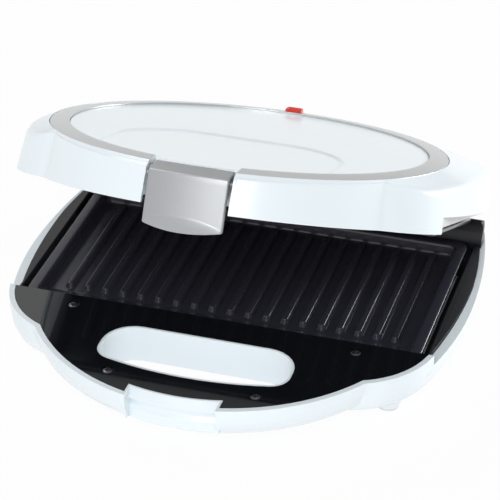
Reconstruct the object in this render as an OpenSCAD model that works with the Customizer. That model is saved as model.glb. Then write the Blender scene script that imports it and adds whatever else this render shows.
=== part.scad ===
// Sandwich toaster with ribbed plates, a hinged lid and a front latch.
// Millimetres, +Z up. Work frame: x = 0 is the mirror plane, y = 0 is the front line of the
// grill plate, z = 0 is the surface that the feet stand on. place() centres the depth.

/* [Housing outline] */
// Radius of the front arc
front_r = 113; // [108:0.5:118]
// Distance of the front arc's centre behind the plate's front line
front_cy = 25.3; // [22:0.1:30]
// Radius of the rounded ear at each side of the front
ear_r = 50.7; // [48:0.1:53]
// Sideways place of the ear's centre
ear_x = 73.6; // [72:0.1:76]
// Place of the ear's centre behind the plate's front line
ear_y = 9.4; // [7:0.1:12]
// Radius of the hollow groove between the front arc and an ear
groove_r = 7; // [4:0.5:10]
// Distance of a side arc's centre beyond the mirror plane
side_cx = 97.5; // [94:0.5:102]
// Place of a side arc's centre behind the plate's front line
side_cy = 60.3; // [57:0.1:64]
// Radius of a side arc's rear half
rear_side_r = 345; // [320:5:380]
// Place of the base's rear wall
rear_y = 158; // [157:0.5:164]
// Place of the lid's rear wall
lid_rear_y = 146; // [144:0.5:148]
// Radius of the rear corners
corner_r = 20; // [16:1:24]

/* [Base] */
// Height of the front deck's top
deck_z = 30; // [29.5:0.5:34]
// Thickness of the front deck
deck_t = 2.8; // [2:0.1:3.2]
// Drop from the deck to the rim beside the plate
step_h = 6.5; // [5:0.5:8]
// Width of the white rim round the deck
rim_w = 3; // [2.4:0.1:3.6]
// Largest half width of the black flange beside the plate
flange_hw = 127.4; // [126:0.2:128]
// Radius of the flange's outer edge
flange_r = 360; // [340:5:400]
// Wall thickness of mouldings
wall = 2.5; // [2:0.1:3]
// Underside of the base at the front
front_under_z = 8; // [7.5:0.5:9]
// Underside of the belly below the plate
belly_z = 4; // [3.5:0.5:5]
// Height of a foot pad
pad_h = 2; // [1:0.5:3]
// Radius of a foot
foot_r = 7; // [6:0.5:8]
// Half of the carrying opening's width
handle_hw = 53.5; // [50:0.5:56]
// Back edge of the carrying opening
handle_back_y = -21; // [-24:0.5:-18]
// Width of the bar in front of the carrying opening
handle_bar_w = 28.7; // [26:0.1:32]
// Half width of the catch recess
catch_hw = 25.3; // [24.5:0.1:27]

/* [Plates] */
// Half width of a grill plate with its rim
plate_hw = 115.4; // [113:0.2:116.4]
// Rear edge of a grill plate
plate_back_y = 126; // [124:0.5:126]
// Width of a plate's rim at its sides
plate_rim = 6.6; // [5:0.2:8]
// Depth of a plate below its rim
plate_depth = 7.7; // [6:0.1:8.5]
// Thickness of a plate's floor
plate_t = 3; // [2:0.1:3.4]
// Height of a rib
rib_h = 3; // [2:0.1:3.6]
// Width of a rib at its foot
rib_w = 6; // [5:0.2:7]
// Width of a rib at its top
rib_top_w = 3.4; // [2.6:0.2:4]
// Distance between ribs
rib_pitch = 10.7; // [10:0.1:14]
// Gap between the two plates' rims when the lid is shut
plates_gap = 1; // [0.8:0.1:2]

/* [Lid] */
// Angle by which the lid stands open at rest
lid_open = 26.15; // [10:0.05:40]
// Hinge axis behind the plate's front line
hinge_y = 150.1; // [149.5:0.1:151]
// Height of the hinge axis
hinge_z = 20.9; // [20:0.1:21.5]
// Gap between the shut lid's edge and the base's rim
lid_gap = 0.4; // [0.3:0.1:1]
// Raised lower edge of the lid's sides and back, above the deck
side_raise = 9.3; // [9:0.1:11]
// Place of the step up to the raised edge
side_step_y = -6.5; // [-8:0.5:-5]
// Inward lean of the lid's wall, bottom to top
lid_draft = 2.6; // [1.5:0.1:3]
// Largest rounding of the lid's upper edge
lid_fillet = 6.5; // [3:0.5:8]
// Fall of the lid's shoulder per millimetre outwards
shoulder_fall = 0.28; // [0.2:0.01:0.36]
// Outer radius of the silver ring
ring_r = 111.8; // [110:0.1:112]
// Width of the silver ring
ring_w = 10.9; // [9:0.1:12]
// Place of the ring's centre behind the plate's front line
ring_cy = 29.5; // [28:0.1:31]
// Height of the ring's centre above the deck
ring_rise = 34.1; // [33:0.1:36]
// Tilt of the ring, up to the back
ring_tilt = 6.16; // [5:0.02:7]
// Thickness of the ring
ring_t = 2.6; // [2:0.1:3]
// Rise of the ring's face from its outer to its inner edge
ring_crown = 1.15; // [0:0.05:1.5]
// Depth of the arched hollow in the top panel
hollow_d = 0.8; // [0.4:0.1:1]

/* [Latch] */
// Half width of the latch
latch_hw = 21.7; // [20:0.1:22]
// Half width of the gap in the lid and the ring for the latch
latch_gap_hw = 23.6; // [23:0.1:24.2]
// Height of the latch's pivot above the deck
latch_pivot_rise = 16; // [15:0.5:16.5]
// Reach of the latch below the deck's level
latch_drop = 9.5; // [9:0.5:11]
// Reach of the finger lip in front of the latch's face
lip_out = 3.4; // [2:0.2:5]

/* [Small parts] */
// Shaft radius of a hinge pin
pin_r = 3; // [2.5:0.1:3.5]
// Running clearance round a shaft
run_gap = 0.06; // [0.02:0.01:0.1]
// Shank radius of a screw
screw_r = 1.4; // [1.2:0.1:1.6]
// Radius of a heating element's tube
element_r = 3.3; // [3:0.1:3.6]
// Length of the indicator lens
lens_l = 12; // [8:1:16]
// Sideways place of the indicator lens
lens_x = -2; // [-10:1:10]
// Bore radius of the cord gland
gland_bore_r = 3.2; // [2.5:0.1:3.6]

/* [Hidden] */

eps = 0.01;
seat = 0.1;
far = 400;
round_fn = 96;
small_fn = 40;

white = [0.94, 0.95, 0.96];
gloss_black = [0.05, 0.05, 0.06];
satin_black = [0.13, 0.13, 0.14];
silver = [0.72, 0.73, 0.74];
light_grey = [0.66, 0.67, 0.68];
steel = [0.62, 0.62, 0.63];

front_c = [0, front_cy];
ear_c = [ear_x, ear_y];
side_c = [-side_cx, side_cy];
side_r = norm(ear_c - side_c) + ear_r;
rear_side_c = [side_r - side_cx - rear_side_r, side_cy];

// ---- plan outline: front arc, groove, ear, side arc, rear corner, rear wall ----
function toward(p, q) = atan2(q[1] - p[1], q[0] - p[0]);
function arc(c, r, a, b, n, first = 0) =
    [for (i = [first:n]) c + r * [cos(a + (b - a) * i / n), sin(a + (b - a) * i / n)]];
function meet(c1, r1, c2, r2) =
    let (v = c2 - c1, s = norm(v), a = (r1 * r1 - r2 * r2 + s * s) / (2 * s), u = v / s)
    c1 + a * u + sqrt(r1 * r1 - a * a) * [u[1], -u[0]];
function flipped(pts) = [for (i = [len(pts) - 1:-1:0]) [-pts[i][0], pts[i][1]]];
function rear_corner(rear) =
    [rear_side_c[0] + sqrt(pow(rear_side_r - corner_r, 2) - pow(rear - corner_r - side_cy, 2)),
     rear - corner_r];

groove_c = meet(front_c, front_r + groove_r, ear_c, ear_r + groove_r);
rear_steps = 7;

function half_outline(d, rear) =
    let (corner = rear_corner(rear))
    concat(
        arc(front_c, front_r - d, -90, toward(front_c, groove_c), 14),
        arc(groove_c, groove_r + d, toward(groove_c, front_c), toward(groove_c, ear_c), 4, 1),
        arc(ear_c, ear_r - d, toward(ear_c, groove_c), toward(side_c, ear_c), 8, 1),
        arc(side_c, side_r - d, toward(side_c, ear_c), 0, 5, 1),
        arc(rear_side_c, rear_side_r - d, 0, toward(rear_side_c, corner), 5, 1),
        arc(corner, corner_r - d, toward(rear_side_c, corner), 90, 7, 1),
        [for (i = [1:rear_steps]) [corner[0] * (1 - i / rear_steps), rear - d]]);
function inner_part(pts) = [for (i = [1:len(pts) - 2]) pts[i]];
function outline(d, rear) =
    let (half = half_outline(d, rear))
    concat(half, flipped(inner_part(half)));

module both_sides() {
    children();
    mirror([1, 0, 0]) children();
}
module place() {
    translate([0, -mid_y, 0]) children();
}
module with_lid() {
    translate([0, hinge_y, hinge_z])
        rotate([-lid_open, 0, 0])
            translate([0, -hinge_y, -hinge_z]) children();
}
// A bar along X whose outline is drawn in (y, z)
module across(x0, x1) {
    translate([x0, 0, 0])
        rotate([90, 0, 90]) linear_extrude(x1 - x0) children();
}
// A bar along Y whose outline is drawn in (x, z)
module along(y0, y1) {
    translate([0, y1, 0])
        rotate([90, 0, 0]) linear_extrude(y1 - y0) children();
}
module slab(z0, z1) {
    translate([0, 0, z0]) linear_extrude(z1 - z0) children();
}
module rod(p, r, h) {
    translate(p) cylinder(r = r, h = h, $fn = small_fn);
}
module rod_x(x0, x1, y, z, r) {
    translate([x0, y, z]) rotate([0, 90, 0]) cylinder(r = r, h = x1 - x0, $fn = small_fn);
}
module zone(x0, x1, y0, y1, z0, z1) {
    translate([x0, y0, z0]) cube([x1 - x0, y1 - y0, z1 - z0]);
}

// A bowl whose outline shrinks by d at height z, for each [d, z] of the profile
module turned(c, r, profile) {
    last = len(profile) - 1;
    translate([c[0], c[1], 0])
        rotate_extrude($fn = round_fn * 2)
            polygon(concat([[0, profile[0][1]]],
                           [for (p = profile) [r - p[0], p[1]]],
                           [[0, profile[last][1]]]));
}
// Front arc with its own profile, ears, sides and rear with another
module bowl(front, profile, rear) {
    corner = rear_corner(rear);
    last = len(profile) - 1;
    join_y = side_cy + rear_side_r * sin(toward(rear_side_c, corner));
    front_join_y = side_cy + side_r * sin(toward(side_c, ear_c));
    turned(front_c, front_r, front);
    both_sides() {
        turned(ear_c, ear_r, profile);
        turned(corner, corner_r, profile);
    }
    intersection() {
        turned(side_c, side_r, profile);
        mirror([1, 0, 0]) turned(side_c, side_r, profile);
        zone(-far, far, front_join_y, side_cy, 0, 2 * deck_z);
    }
    intersection() {
        turned(rear_side_c, rear_side_r, profile);
        mirror([1, 0, 0]) turned(rear_side_c, rear_side_r, profile);
        zone(-far, far, side_cy, join_y, 0, 2 * deck_z);
    }
    across(-corner[0], corner[0])
        polygon(concat([[front_cy, profile[0][1]]],
                       [for (p = profile) [rear - p[0], p[1]]],
                       [[front_cy, profile[last][1]]]));
}
module plain_bowl(profile, rear) {
    bowl(profile, profile, rear);
}

// ---- base ----
rim_z = deck_z - step_h;
deck_y = -0.3;
web_z = deck_z - deck_t - seat;
cover_inset = 12.9;
cover_top_z = front_under_z + wall - seat;
frame_inset = rim_w + 0.2;

front_profile = [[0, deck_z], [0, deck_z - 5], [1, deck_z - 9.5], [2.6, deck_z - 14],
                 [6.2, deck_z - 18], [9.2, front_under_z + 1.4], [11, front_under_z]];
side_profile = [[0, deck_z], [0, deck_z - 5], [0.5, deck_z - 9.5], [1.1, deck_z - 14],
                [2.6, deck_z - 18], [5, front_under_z + 1.4], [7.5, front_under_z]];
lip_inset = 15.5;
lip_top_z = front_under_z + 2 * wall;
function hollow_profile(gap, top_z) =
    [[rim_w + gap, top_z], [rim_w + gap, deck_z - 5], [rim_w + 1.4 + gap, deck_z - 9.2],
     [rim_w + 3.6 + gap, deck_z - 13.4], [rim_w + 6.6 + gap, lip_top_z + gap],
     [lip_inset + gap, lip_top_z + gap], [lip_inset + gap, front_under_z + wall]];
base_hollow = concat(hollow_profile(0, deck_z + 1),
                     [[cover_inset - 0.3, front_under_z + wall],
                      [cover_inset - 0.3, front_under_z - 1]]);

front_edge_y = front_cy - front_r;
handle_front_y = front_edge_y + handle_bar_w;
handle_front_r = 187;
handle_corner_r = 10;
handle_back_r = 17;

function handle_outline(e) =
    let (arc_c = [0, handle_front_y + handle_front_r],
         front_x = handle_hw - handle_corner_r,
         front_y = arc_c[1] - sqrt(pow(handle_front_r - handle_corner_r, 2) - pow(front_x, 2)),
         front_k = [front_x, front_y],
         back_k = [handle_hw - handle_back_r, handle_back_y - handle_back_r],
         turn = toward(arc_c, front_k),
         half = concat(arc(arc_c, handle_front_r + e, -90, turn, 6),
                       arc(front_k, handle_corner_r + e, turn, 0, 6, 1),
                       arc(back_k, handle_back_r + e, 0, 90, 7)))
    concat(half, flipped([for (i = [1:len(half) - 1]) half[i]]));

deck_screw_at = [[ear_x + 8.4, -9.4], [41.6, front_edge_y + 22.7]];
foot_at = [[101.5, -11], [96, 128]];
cover_screw_at = [[handle_hw + 8.5, front_edge_y + 45.7], [plate_hw - 7.4, 30], [plate_hw - 7.4, 105]];
plate_screw_at = [[plate_hw - 13, 12], [plate_hw - 13, 112]];

catch_r = front_r - 9;
catch_rim = 1.1;
catch_lip_r = front_r - 6.8;
catch_lip_z = deck_z - 6.5;

module deck_region(d) {
    intersection() {
        polygon(outline(d, rear_y));
        translate([-far, -far]) square([2 * far, far + deck_y]);
    }
}
module catch_recess() {
    intersection() {
        translate([0, front_cy, 0])
            rotate_extrude($fn = round_fn * 2)
                polygon([[catch_r, deck_z + 1], [catch_r, deck_z - 1],
                         [catch_lip_r, catch_lip_z + 1.6], [catch_lip_r, catch_lip_z],
                         [catch_lip_r - 2.6, catch_lip_z - 0.6],
                         [catch_lip_r - 2.6, catch_lip_z - 4.5],
                         [catch_lip_r - 0.8, catch_lip_z - 6.5],
                         [catch_lip_r - 0.8, front_under_z - 1],
                         [front_r + 1, front_under_z - 1], [front_r + 1, deck_z + 1]]);
        zone(-catch_hw, catch_hw, -far, 0, 0, 2 * deck_z);
    }
}
// Wall behind the catch recess, with a thin rim beside the deck
module catch_wall() {
    side = catch_hw + catch_rim;
    intersection() {
        translate([0, front_cy, 0])
            rotate_extrude($fn = round_fn * 2)
                polygon([[catch_r - catch_rim, deck_z], [catch_r + 4, deck_z],
                         [catch_lip_r + 1, catch_lip_z], [catch_lip_r + 1, lip_top_z],
                         [catch_r - wall, lip_top_z], [catch_r - wall, web_z],
                         [catch_r - catch_rim, web_z]]);
        zone(-side, side, -far, 0, 0, 2 * deck_z);
    }
    // side walls of the recess
    both_sides() intersection() {
        zone(catch_hw - 0.5, side, -far, 0, lip_top_z, deck_z);
        translate([0, front_cy, 0]) difference() {
            cylinder(r = front_r - rim_w + 0.5, h = far, $fn = round_fn * 2);
            translate([0, 0, -1]) cylinder(r = catch_r - 1, h = 2 * far, $fn = round_fn * 2);
        }
    }
}
// Lid lugs stand in slots at both sides of the hinge barrel
lug_x = 73;
lug_w = 14;
lug_r = 8;
slot_gap = 0.6;
lug_front_y = 134;
lug_knee_z = hinge_z + 11;
module lug_slot() {
    x0 = lug_x - lug_w / 2 - slot_gap;
    x1 = lug_x + lug_w / 2 + slot_gap;
    zone(x0, x1, hinge_y - lug_r - slot_gap, far, hinge_z - lug_r - slot_gap, far);
    zone(x0, x1, lug_front_y - slot_gap, far, lug_knee_z - slot_gap, far);
}
gland_x = 38;
gland_z = 15.5;
gland_r = 5.5;

// Outer edge of the flange beside the plate
module flange_edge(gap) {
    intersection_for (s = [-1, 1])
        translate([s * (flange_hw - flange_r), 79]) circle(r = flange_r - gap, $fn = 6 * round_fn);
    front_hw = flange_x + 2.2 - gap;
    translate([-front_hw, -far]) square([2 * front_hw, far + 10]);
}
// White ledge between the wall and the black flange
module side_ledge() {
    difference() {
        intersection() {
            plain_bowl([[1, rim_z], [1, rim_z - wall]], rear_y);
            zone(-far, far, 0, barrel_front_y, 0, far);
        }
        slab(0, far) flange_edge(0);
    }
}
lower_rim_z = deck_z - 3.3;
plate_under = plate_depth + plate_t;
lower_under_z = lower_rim_z - plate_under;
cover_boss_h = lower_under_z - front_under_z - wall - 0.3;

module base_shell() {
    color(white) difference() {
        union() {
            difference() {
                bowl(front_profile, side_profile, rear_y);
                plain_bowl(base_hollow, rear_y);
                zone(-far, far, 0, far, rim_z, far);
            }
            side_ledge();
            slab(web_z - wall, web_z) deck_region(rim_w - 1);
            slab(front_under_z, deck_z) polygon(handle_outline(1.2));
            slab(front_under_z, web_z) polygon(handle_outline(wall));
            both_sides() for (p = deck_screw_at)
                rod([p[0], p[1], web_z - wall - 7], 3.6, 7 + eps);
            both_sides() for (p = cover_screw_at)
                rod([p[0], p[1], front_under_z + wall], 4, cover_boss_h);
            both_sides() for (p = cover_screw_at) if (p[1] > 0)
                zone(p[0], p[0] + 8, p[1] - 2, p[1] + 2, front_under_z + wall, lip_top_z);
            both_sides() rod([cover_screw_at[0][0], cover_screw_at[0][1], front_under_z + wall],
                             4, web_z - front_under_z - 2 * wall + eps);
            catch_wall();
        }
        slab(0, far) polygon(handle_outline(0));
        catch_recess();
        both_sides() for (p = deck_screw_at)
            rod([p[0], p[1], web_z - wall - 6], screw_r + 0.05, far);
        both_sides() for (p = cover_screw_at)
            rod([p[0], p[1], 0], screw_r + 0.05, front_under_z + wall + cover_boss_h - 0.5);
        both_sides() lug_slot();
        translate([gland_x, rear_y, gland_z])
            rotate([90, 0, 0]) cylinder(r = gland_r + 0.1, h = 24, center = true, $fn = small_fn);
    }
}

module front_deck() {
    color(gloss_black) difference() {
        intersection() {
            plain_bowl([[rim_w + 0.2, deck_z], [rim_w + 0.2, deck_z - deck_t]], rear_y);
            zone(-far, far, -far, deck_y, 0, far);
        }
        slab(0, far) polygon(handle_outline(1.4));
        intersection() {
            translate([0, front_cy, 0]) difference() {
                cylinder(r = far, h = 2 * deck_z, $fn = round_fn);
                translate([0, 0, -1])
                    cylinder(r = catch_r - catch_rim - 0.15, h = 3 * deck_z, $fn = round_fn * 2);
            }
            zone(-catch_hw - catch_rim - 0.15, catch_hw + catch_rim + 0.15, -far, 0, 0, 2 * deck_z);
        }
        both_sides() for (p = deck_screw_at) {
            rod([p[0], p[1], 0], screw_r + 0.2, far);
            rod([p[0], p[1], deck_z - 1.5], 3.4, far);
        }
    }
}
// A countersunk-style pan screw, head up, seated at z = 0
module pan_screw(head_r, head_h, length) {
    difference() {
        union() {
            cylinder(r1 = head_r, r2 = head_r - 0.5, h = head_h, $fn = small_fn);
            translate([0, 0, -length]) cylinder(r = screw_r, h = length + eps, $fn = small_fn);
        }
        translate([-head_r * 0.6, -0.35, head_h - 0.8]) cube([head_r * 1.2, 0.7, 1]);
        translate([-0.35, -head_r * 0.6, head_h - 0.8]) cube([0.7, head_r * 1.2, 1]);
    }
}
module deck_screws() {
    color(steel) both_sides() for (p = deck_screw_at)
        translate([p[0], p[1], deck_z - 1.5 + 0.02]) pan_screw(2.9, 1.5, 8);
}

// Black flanges at both sides of the plate, drawn in (x, z)
flange_x = plate_hw + 3.2;
frame_foot_z = front_under_z + wall;
plate_screw_z = cover_top_z + 2.4;
module flange_section() {
    polygon([[flange_x, lip_top_z + 0.2], [flange_x, rim_z + 2.2], [flange_x + 0.8, rim_z + 2.6],
             [flange_x + 14, rim_z + 0.3], [flange_x + 14, rim_z - 2.2],
             [flange_x + wall, rim_z - 0.6], [flange_x + wall, lip_top_z + 0.2]]);
}
module base_frame() {
    color(satin_black) difference() {
        union() {
            intersection() {
                plain_bowl(hollow_profile(0.2, far), rear_y);
                union() {
                    both_sides() along(deck_y + 0.3, barrel_front_y - 0.2) flange_section();
                    // front bar under the deck's back edge
                    zone(-far, far, deck_y - 3.4, deck_y - 0.8, lip_top_z + 0.2, web_z - wall - seat);
                    both_sides() zone(flange_x, flange_x + wall, deck_y - 3.4, deck_y + 1,
                                      lip_top_z + 0.2, rim_z - 1);
                    // floor under the gap beside the plate
                    both_sides() zone(plate_hw - 2, flange_x + 1, deck_y + 0.3, barrel_front_y - 0.2,
                                      lip_top_z + 0.2, lip_top_z + 1.4);
                    // knee that carries the hinge housing
                    both_sides() zone(plate_hw - 4.4, flange_x + wall,
                                      barrel_front_y - 14.6, barrel_front_y - 0.2,
                                      lip_top_z + 0.2, rim_z - 0.6);
                    both_sides() for (p = plate_screw_at) {
                        rod([p[0], p[1], cover_top_z], 4.2, lower_under_z - cover_top_z - seat);
                        zone(p[0], flange_x + 1, p[1] - 2.5, p[1] + 2.5,
                             lip_top_z + 0.2, lower_under_z - seat);
                    }
                }
                slab(0, far) flange_edge(0.3);
            }
        }
        both_sides() for (p = plate_screw_at) {
            rod([p[0], p[1], 0], screw_r + 0.2, far);
            rod([p[0], p[1], 0], 3.6, plate_screw_z);
        }
    }
}

// ---- hinge housing: a long barrel round the hinge axis, with raised ends ----
barrel_r = 23.5;
barrel_back_r = 17.1;
barrel_top_z = deck_z + 8;
barrel_front_y = hinge_y - barrel_r;
barrel_crest_y = hinge_y - 15.1;
barrel_fall = 0.6;
module barrel(r, back_r, low_z, top_z, rear) {
    intersection() {
        union() {
            intersection() {
                rod_x(-far, far, hinge_y, hinge_z, r);
                zone(-far, far, 0, hinge_y, low_z, far);
            }
            intersection() {
                rod_x(-far, far, hinge_y, hinge_z, back_r);
                zone(-far, far, hinge_y - eps, rear, low_z, far);
            }
        }
        // the top falls towards the rear wall
        across(-far, far)
            polygon([[0, low_z], [rear, low_z], [rear, top_z - barrel_fall * (rear - barrel_crest_y)],
                     [barrel_crest_y, top_z], [0, top_z]]);
    }
}
// Rounded ends of the part that stands above the rim
module barrel_ends() {
    end_r = 4;
    top_hw = flange_hw - 4.9;
    along(0, far)
        polygon(concat([[-top_hw, rim_z + 0.1], [top_hw, rim_z + 0.1]],
                       arc([top_hw - end_r, barrel_top_z - end_r], end_r, 0, 90, 8),
                       arc([end_r - top_hw, barrel_top_z - end_r], end_r, 90, 180, 8)));
}
module hinge_housing() {
    color(satin_black) difference() {
        union() {
            intersection() {
                barrel(barrel_r, barrel_back_r, frame_foot_z, barrel_top_z, rear_y - frame_inset);
                plain_bowl(hollow_profile(0.2, far), rear_y);
            }
            intersection() {
                barrel(barrel_r, barrel_back_r, rim_z + 0.1, barrel_top_z, rear_y - 1);
                plain_bowl([[1.1, far], [1.1, 1]], rear_y);
                barrel_ends();
            }
        }
        // hollow under the barrel, left solid round the hinge slots
        intersection() {
            plain_bowl([[frame_inset + wall, far], [frame_inset + wall, -1]], rear_y);
            barrel(barrel_r - wall, barrel_back_r - wall, 0, barrel_top_z - wall,
                   rear_y - frame_inset - wall);
            union() {
                zone(21 - lug_x, lug_x - 21, 0, far, -1, far);
                both_sides() zone(lug_x + 20, far, 0, far, -1, far);
            }
        }
        both_sides() lug_slot();
        both_sides() rod_x(lug_x - 20, lug_x + 18, hinge_y, hinge_z, pin_r + 0.02);
        translate([gland_x, rear_y, gland_z])
            rotate([90, 0, 0]) cylinder(r = gland_r + 1.2, h = 24, center = true, $fn = small_fn);
    }
}

// ---- grill plate: rim at z = 0, cavity below it ----
rib_count = floor((plate_hw - plate_rim - rib_w) / rib_pitch);
rib_y0 = 21;
rib_y1 = plate_back_y - 8.5;
plate_front_y = 1;

function rounded(x, y0, y1, r) =
    concat(arc([x - r, y0 + r], r, -90, 0, 6), arc([x - r, y1 - r], r, 0, 90, 6),
           arc([-x + r, y1 - r], r, 90, 180, 6), arc([-x + r, y0 + r], r, 180, 270, 6));

module rib(x) {
    slope = (rib_w - rib_top_w) / 2;
    translate([x, 0, -plate_depth]) {
        along(rib_y0 + rib_w / 2, rib_y1 - rib_w / 2)
            polygon([[-rib_w / 2, -1], [rib_w / 2, -1], [rib_w / 2, 0], [rib_w / 2 - slope, rib_h],
                     [slope - rib_w / 2, rib_h], [-rib_w / 2, 0]]);
        for (y = [rib_y0 + rib_w / 2, rib_y1 - rib_w / 2])
            translate([0, y, 0]) {
                cylinder(r1 = rib_w / 2, r2 = rib_top_w / 2, h = rib_h, $fn = small_fn);
                translate([0, 0, -1]) cylinder(r = rib_w / 2, h = 1, $fn = small_fn);
            }
    }
}
module grill_plate() {
    inner = plate_hw - plate_rim;
    difference() {
        union() {
            slab(-2.4, 0) polygon(rounded(plate_hw, plate_front_y, plate_back_y, 6));
            slab(-plate_under, -2.4 + eps)
                polygon(rounded(inner + 1.4, plate_front_y + 1, plate_back_y - 3.5, 5));
        }
        intersection() {
            along(0, plate_back_y)
                polygon([[-inner, eps], [-inner + 1.8, -plate_depth],
                         [inner - 1.8, -plate_depth], [inner, eps]]);
            across(-far, far)
                polygon([[plate_front_y + 2.5, eps], [plate_front_y + 16, -plate_depth],
                         [plate_back_y - 7, -plate_depth], [plate_back_y - 5.4, eps]]);
        }
        // pilot holes for the plate's screws, from behind
        both_sides() for (p = plate_screw_at)
            rod([p[0], p[1], -plate_under - 1], screw_r + 0.05, 3.2);
    }
    intersection() {
        for (i = [-rib_count:rib_count]) rib(i * rib_pitch);
        slab(-plate_under, 0) polygon(rounded(inner, plate_front_y, plate_back_y - 4, 3));
    }
}
upper_rim_z = lower_rim_z + plates_gap;
upper_back_z = upper_rim_z + plate_under;

module lower_plate() {
    color(satin_black) translate([0, 0, lower_rim_z]) grill_plate();
}
module upper_plate() {
    color(satin_black) translate([0, 0, upper_rim_z]) mirror([0, 0, 1]) grill_plate();
}
module plate_screw(length) {
    rotate([180, 0, 0]) pan_screw(3.2, 1.6, length);
}
module lower_plate_screws() {
    color(steel) both_sides() for (p = plate_screw_at)
        translate([p[0], p[1], plate_screw_z - 0.02]) plate_screw(lower_under_z - plate_screw_z + 1.8);
}

// ---- heating parts ----
element_y0 = 32;
element_y1 = 92;
element_x = 84;
module element(z) {
    bend = (element_y1 - element_y0) / 2;
    for (y = [element_y0, element_y1]) {
        rod_x(-element_x, element_x - bend, y, z, element_r);
        rod_x(-element_x - 9, -element_x + eps, y, z, 1.2);
    }
    translate([element_x - bend, (element_y0 + element_y1) / 2, z])
        rotate([0, 0, -90]) rotate_extrude(angle = 180, $fn = round_fn)
            translate([bend, 0]) circle(r = element_r, $fn = small_fn);
}
module reflector(z_plate, depth) {
    x = belly_hw - 6;
    y0 = element_y0 - 12;
    y1 = element_y1 + 14;
    t = 0.8;
    difference() {
        slab(z_plate - depth, z_plate) polygon(rounded(x, y0, y1, 4));
        slab(z_plate - depth + t, z_plate + 1) polygon(rounded(x - t, y0 + t, y1 - t, 3.4));
        for (y = [element_y0, element_y1])
            zone(-x - 1, -x + 8, y - 3, y + 3, z_plate - depth + 2, z_plate + 1);
    }
}
reflector_depth = 8;
module lower_element() {
    color(steel) translate([0, 0, lower_under_z - element_r - 0.05]) element(0);
}
module upper_element() {
    color(steel) translate([0, 0, upper_back_z + element_r + 0.05]) element(0);
}
module lower_reflector() {
    color(silver) reflector(lower_under_z - 0.05, reflector_depth);
}
module upper_reflector() {
    color(silver) translate([0, 0, upper_back_z + 0.05])
        mirror([0, 0, 1]) reflector(0, reflector_depth);
}
module thermostat() {
    color(light_grey) translate([0, 62, lower_under_z - 0.05]) {
        translate([0, 0, -3]) cylinder(r = 8.5, h = 3, $fn = small_fn);
        translate([0, 0, -6]) cylinder(r = 6.5, h = 3 + eps, $fn = small_fn);
        for (s = [-1, 1]) translate([s * 9 - 3, -2.2, -4.6]) cube([6, 4.4, 0.8]);
    }
}
module thermal_fuse() {
    color(white) translate([0, 0, lower_under_z - 2.05]) {
        rod_x(-48, -28, 62, 0, 2);
        rod_x(-56, -20, 62, 0, 0.5);
    }
}
module terminal_block() {
    color(white) difference() {
        zone(59, 77, -19, -6, cover_top_z, cover_top_z + 9);
        for (x = [62, 68, 74]) {
            rod([x, -12.5, cover_top_z + 3], 1.8, 9);
            translate([x, -5, cover_top_z + 4]) rotate([90, 0, 0])
                cylinder(r = 1.3, h = 15, $fn = small_fn);
        }
    }
}

// ---- bottom cover ----
belly_hw = 97;
belly_y0 = 4;
belly_y1 = 121;
module foot(p) {
    translate([p[0], p[1], pad_h])
        cylinder(r1 = foot_r, r2 = foot_r + 1.6, h = front_under_z - pad_h, $fn = round_fn);
}
module belly(grow, z0, z1) {
    intersection() {
        across(-belly_hw - grow, belly_hw + grow)
            polygon([[belly_y0 - grow, z1], [belly_y0 + 4 - grow, z0],
                     [belly_y1 - 4 + grow, z0], [belly_y1 + grow, z1]]);
        along(belly_y0 - 10, belly_y1 + 10)
            polygon([[-belly_hw - grow, z1], [-belly_hw + 4 - grow, z0],
                     [belly_hw - 4 + grow, z0], [belly_hw + grow, z1]]);
    }
}
module bottom_cover() {
    color(white) difference() {
        union() {
            plain_bowl([[cover_inset, cover_top_z], [cover_inset, front_under_z]], rear_y);
            belly(0, belly_z, front_under_z + eps);
            both_sides() for (p = foot_at) foot(p);
        }
        belly(-2.2, belly_z + 2, cover_top_z + 1);
        slab(0, far) polygon(handle_outline(wall + 0.3));
        both_sides() for (p = cover_screw_at) {
            rod([p[0], p[1], 0], screw_r + 0.2, far);
            rod([p[0], p[1], -1], 3.5, front_under_z + 2);
        }
        // vents under the plate
        for (x = [-72:16:72]) for (y = [34, 72])
            zone(x - 1.5, x + 1.5, y, y + 22, 0, far);
        intersection() {
            translate([0, front_cy, 0]) difference() {
                cylinder(r = far, h = deck_z, $fn = round_fn);
                translate([0, 0, -1]) cylinder(r = catch_lip_r - 1, h = deck_z + 2, $fn = round_fn * 2);
            }
            zone(-catch_hw - 1, catch_hw + 1, -far, 0, 0, deck_z);
        }
    }
}
module cover_screws() {
    color(steel) both_sides() for (p = cover_screw_at)
        translate([p[0], p[1], front_under_z + 1 - 0.02]) plate_screw(wall + cover_boss_h - 1.8);
}
module foot_pads() {
    color(satin_black) both_sides() for (p = foot_at)
        rod([p[0], p[1], 0], foot_r - 0.8, pad_h);
}
module hinge_pins() {
    color(steel) both_sides() rod_x(lug_x - 17, lug_x + 17, hinge_y, hinge_z, pin_r);
}
module cord_gland() {
    color(satin_black) translate([gland_x, rear_y, gland_z]) rotate([-90, 0, 0]) difference() {
        union() {
            cylinder(r1 = gland_r + 2.5, r2 = gland_r + 1.2, h = 3.4, $fn = small_fn);
            translate([0, 0, -10]) cylinder(r = gland_r, h = 11, $fn = small_fn);
            translate([0, 0, 3]) cylinder(r1 = gland_r - 0.4, r2 = gland_r - 1.2, h = 4, $fn = small_fn);
        }
        translate([0, 0, -12]) cylinder(r = gland_bore_r, h = 24, $fn = small_fn);
    }
}

// ---- lid ----
ring_z = deck_z + ring_rise;
ring_c = [0, ring_cy];
lid_low_z = deck_z + lid_gap;
lid_side_z = deck_z + side_raise;

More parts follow.
